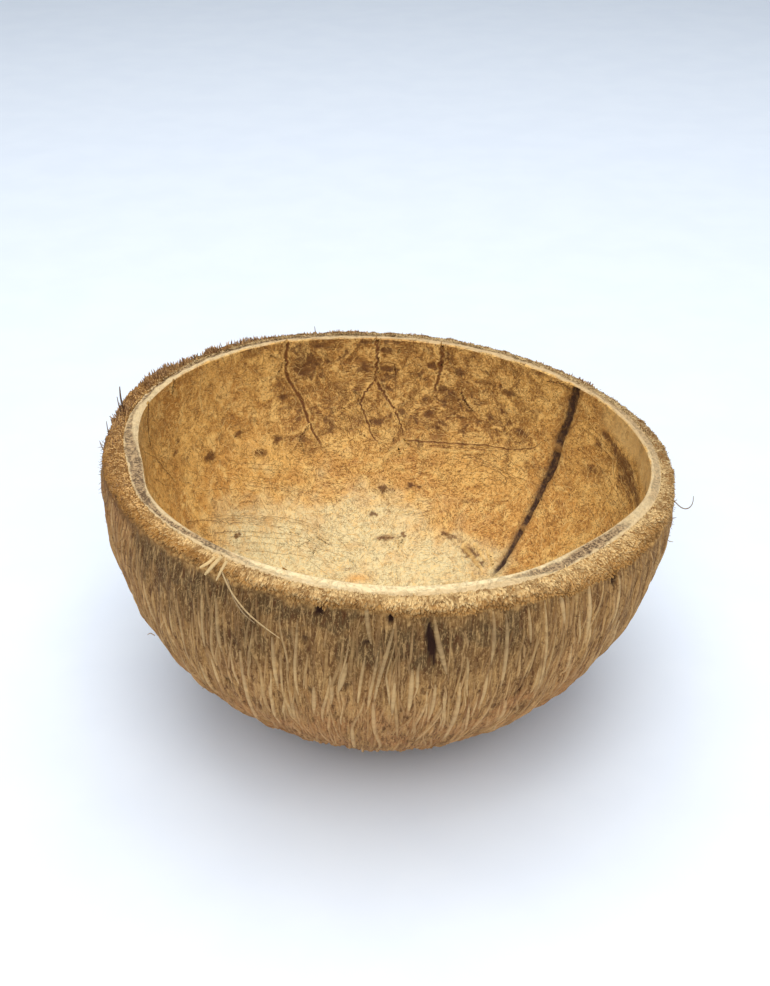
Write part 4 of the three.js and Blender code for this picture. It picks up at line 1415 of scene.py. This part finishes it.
# strokes: loose-lying hairs of skin left on the wall, none lower than their lowest sweep in degrees
strokeKinds = {
    "brownHairs": {
        "count": 4600, "seed": 91, "width": (0.13, 0.28), "length": (0.8, 2.8), "height": 0.05, "lowest": 14,
        "dark": srgb(104, 66, 28), "light": srgb(156, 108, 50),
    },
    "paleHairs": {
        "count": 3200, "seed": 92, "width": (0.14, 0.32), "length": (1.2, 4.0), "height": 0.08, "lowest": 30,
        "dark": srgb(212, 166, 94), "light": srgb(244, 208, 140),
    },
}
strokes = {
    "steps": 6,
    "swirls": (1.5, 22, 12, 93),
    "scatter": 0.55,
    "bend": 0.9,
    "seamRoom": 1.4,          # mm
    "mattest": 0.3,
}


def buildStrokes(name, kind):
    rng = np.random.default_rng(kind["seed"])
    count, steps = kind["count"], strokes["steps"]
    turns, sweeps = np.zeros((2, count, steps))
    turns[:, 0] = rng.uniform(0, fullTurn, count)
    sweeps[:, 0] = np.arccos(rng.uniform(0.03, math.cos(math.radians(kind["lowest"])), count))
    stride = rng.uniform(*kind["length"], count) / (steps - 1) / nut["hollowRadius"]
    heading = latticeNoise(turns[:, 0], sweeps[:, 0] / quarterTurn, strokes["swirls"])
    heading += rng.normal(0, strokes["scatter"], count)
    bend = rng.normal(0, strokes["bend"], count)
    for step in range(1, steps):
        angle = heading + bend * step / steps
        sweeps[:, step] = np.clip(sweeps[:, step - 1] + stride * np.sin(angle), 0.1, quarterTurn - 0.02)
        turns[:, step] = turns[:, step - 1] + stride * np.cos(angle) / np.sin(sweeps[:, step])
    look = wallLook(turns, sweeps)
    keep = np.abs(acrossSeam(turns, sweeps)).min(1) > strokes["seamRoom"]
    keep &= look["matte"].max(1) < strokes["mattest"]
    turns, sweeps = turns[keep], sweeps[keep]
    count = len(turns)
    taper = np.sin(np.pi * np.linspace(0.06, 0.94, steps)) ** 0.6
    widths = rng.uniform(*kind["width"], count)[:, None] * taper
    heights = np.broadcast_to(kind["height"] * taper, widths.shape)
    numbers = {"tone": rng.random(count)[:, None], "brownedAndShaded": look["brownedAndShaded"][keep]}
    centres, normals = wallAt(turns, sweeps), wallNormal(turns, sweeps)
    piece = layStrips(name, centres, normals, widths, heights, sharpCrown, numbers)
    kit = Kit(name + "Finish", 0.6)
    speck = kit.noise(kit.place(), 1300, 2, 0.5)
    colour = kit.coats(
        kit.mix(kit.read("tone"), kind["dark"], kind["light"]),
        (kit.fit(speck, 0.45, 0.7, 0, 0.4), shell["tan"]),
        # strokes take the wall's browning and its painted shade
        (kit.times(kit.read("brownedAndShaded"), 0.45), shell["umber"]))
    dress(piece, kit.finish(colour))


# studio, in metres and watts
studio = {
    "floorHalf": 3.0,
    # against that half: where the floor starts to bend up, how wide it bends, how high it ends
    "floorFlat": 0.6,
    "floorBend": 0.4,
    "floorTop": 1.6,
    "bendSteps": 24,
    "floorColour": srgb(232, 240, 251),
    "floorCloud": srgb(223, 232, 246),
    "worldColour": (0.89, 0.945, 1.0),
    "worldStrength": 0.43,
    "lampColour": (1.0, 0.985, 0.96),
    "lampAim": (0.0, 0.0, 0.05),
    # place, size and power of each lamp
    "topLight": ((0.0, 0.1, 1.0), 1.0, 5.9),
    "frontLight": ((0.0, -0.84, 1.06), 1.2, 12.7),
}
view = {
    "distance": 325.0,        # mm from the middle of the round to the eye
    "elevation": 28.6,
    "focalPixels": 1410.9,
    "frame": (770, 986),
    "middleAt": (387.0, 462.0),
    "sensor": 36.0,
    "clipStart": 0.01,
}


# puts a lamp or camera in the scene and turns it towards a point
def standAt(name, data, place, aim):
    holder = bpy.data.objects.new(name, data)
    bpy.context.scene.collection.objects.link(holder)
    holder.location = place
    holder.rotation_euler = Vector(np.array(aim) - np.array(place)).to_track_quat("-Z", "Y").to_euler()
    return holder


def areaLight(name):
    place, size, power = studio[name]
    lamp = bpy.data.lights.new(name, "AREA")
    lamp.shape = "DISK"
    lamp.size = size
    lamp.energy = power
    lamp.color = studio["lampColour"]
    standAt(name, lamp, place, studio["lampAim"])


def buildFloor():
    half, steps = studio["floorHalf"], studio["bendSteps"]
    flat, bend = half * studio["floorFlat"], half * studio["floorBend"]
    angles = np.arange(steps + 1) / steps * quarterTurn
    curve = zip(flat + bend * np.sin(angles), bend * (1 - np.cos(angles)))
    profile = [(-half, 0.0), *curve, (half, half * studio["floorTop"])]
    points = np.array([(x * half, y, z) for y, z in profile for x in (-1, 1)]) / mm
    floor = makeMesh("studioFloor", points, gridQuads(len(profile), 2, closed=False)[:, ::-1])
    kit = Kit("studioPaper", 0.9, 0.1)
    clouds = kit.noise(kit.place(), 40, 3, 0.5)
    colour = kit.mix(kit.fit(clouds, 0.3, 0.7, 0, 0.3), studio["floorColour"], studio["floorCloud"])
    floor.data.materials.append(kit.finish(colour))


def buildSky():
    world = bpy.data.worlds.new("softSky")
    world.use_nodes = True
    background = world.node_tree.nodes["Background"]
    background.inputs["Color"].default_value = (*studio["worldColour"], 1.0)
    background.inputs["Strength"].default_value = studio["worldStrength"]
    bpy.context.scene.world = world


# the camera looks a little past the nut's middle, which so stands at its own place in the frame
def buildCamera():
    elevation = math.radians(view["elevation"])
    distance, focal = view["distance"] * mm, view["focalPixels"]
    centre = np.array([0, 0, nut["centreHeight"] * mm])
    back = np.array([0, -math.cos(elevation), math.sin(elevation)])
    right = np.array([1.0, 0, 0])
    up = np.cross(right, -back)
    across = (view["middleAt"][0] - view["frame"][0] / 2) / focal * distance
    above = (view["frame"][1] / 2 - view["middleAt"][1]) / focal * distance
    lens = bpy.data.cameras.new("mainView")
    lens.sensor_width = view["sensor"]
    lens.lens = focal * view["sensor"] / view["frame"][1]
    lens.clip_start = view["clipStart"]
    place = centre + back * distance
    bpy.context.scene.camera = standAt("mainView", lens, place, centre - right * across - up * above)


buildCamera()
buildFloor()
buildSky()
areaLight("topLight")
areaLight("frontLight")
bpy.context.scene.view_settings.view_transform = "Standard"
bpy.context.scene.view_settings.look = "None"
print("studio ready")
buildHusk()
buildStrands("paleStrands", frontStrands)
buildStrands("brownStrands")
print("husk and strands ready")
for fringeName, fringeKind in fringeKinds.items():
    buildFringe(fringeName, fringeKind)
buildWhiskers()
buildBristles()
buildLooseFibres()
print("rim fringe and loose fibres ready")
shellFinish = shellMaterial()
buildShell()
drawLines("shellVeins", veins)
drawLines("paleRidges", paleLines)
drawLines("fineCreases", fineCreases())
for strokeName, strokeKind in strokeKinds.items():
    buildStrokes(strokeName, strokeKind)
print("shell ready")
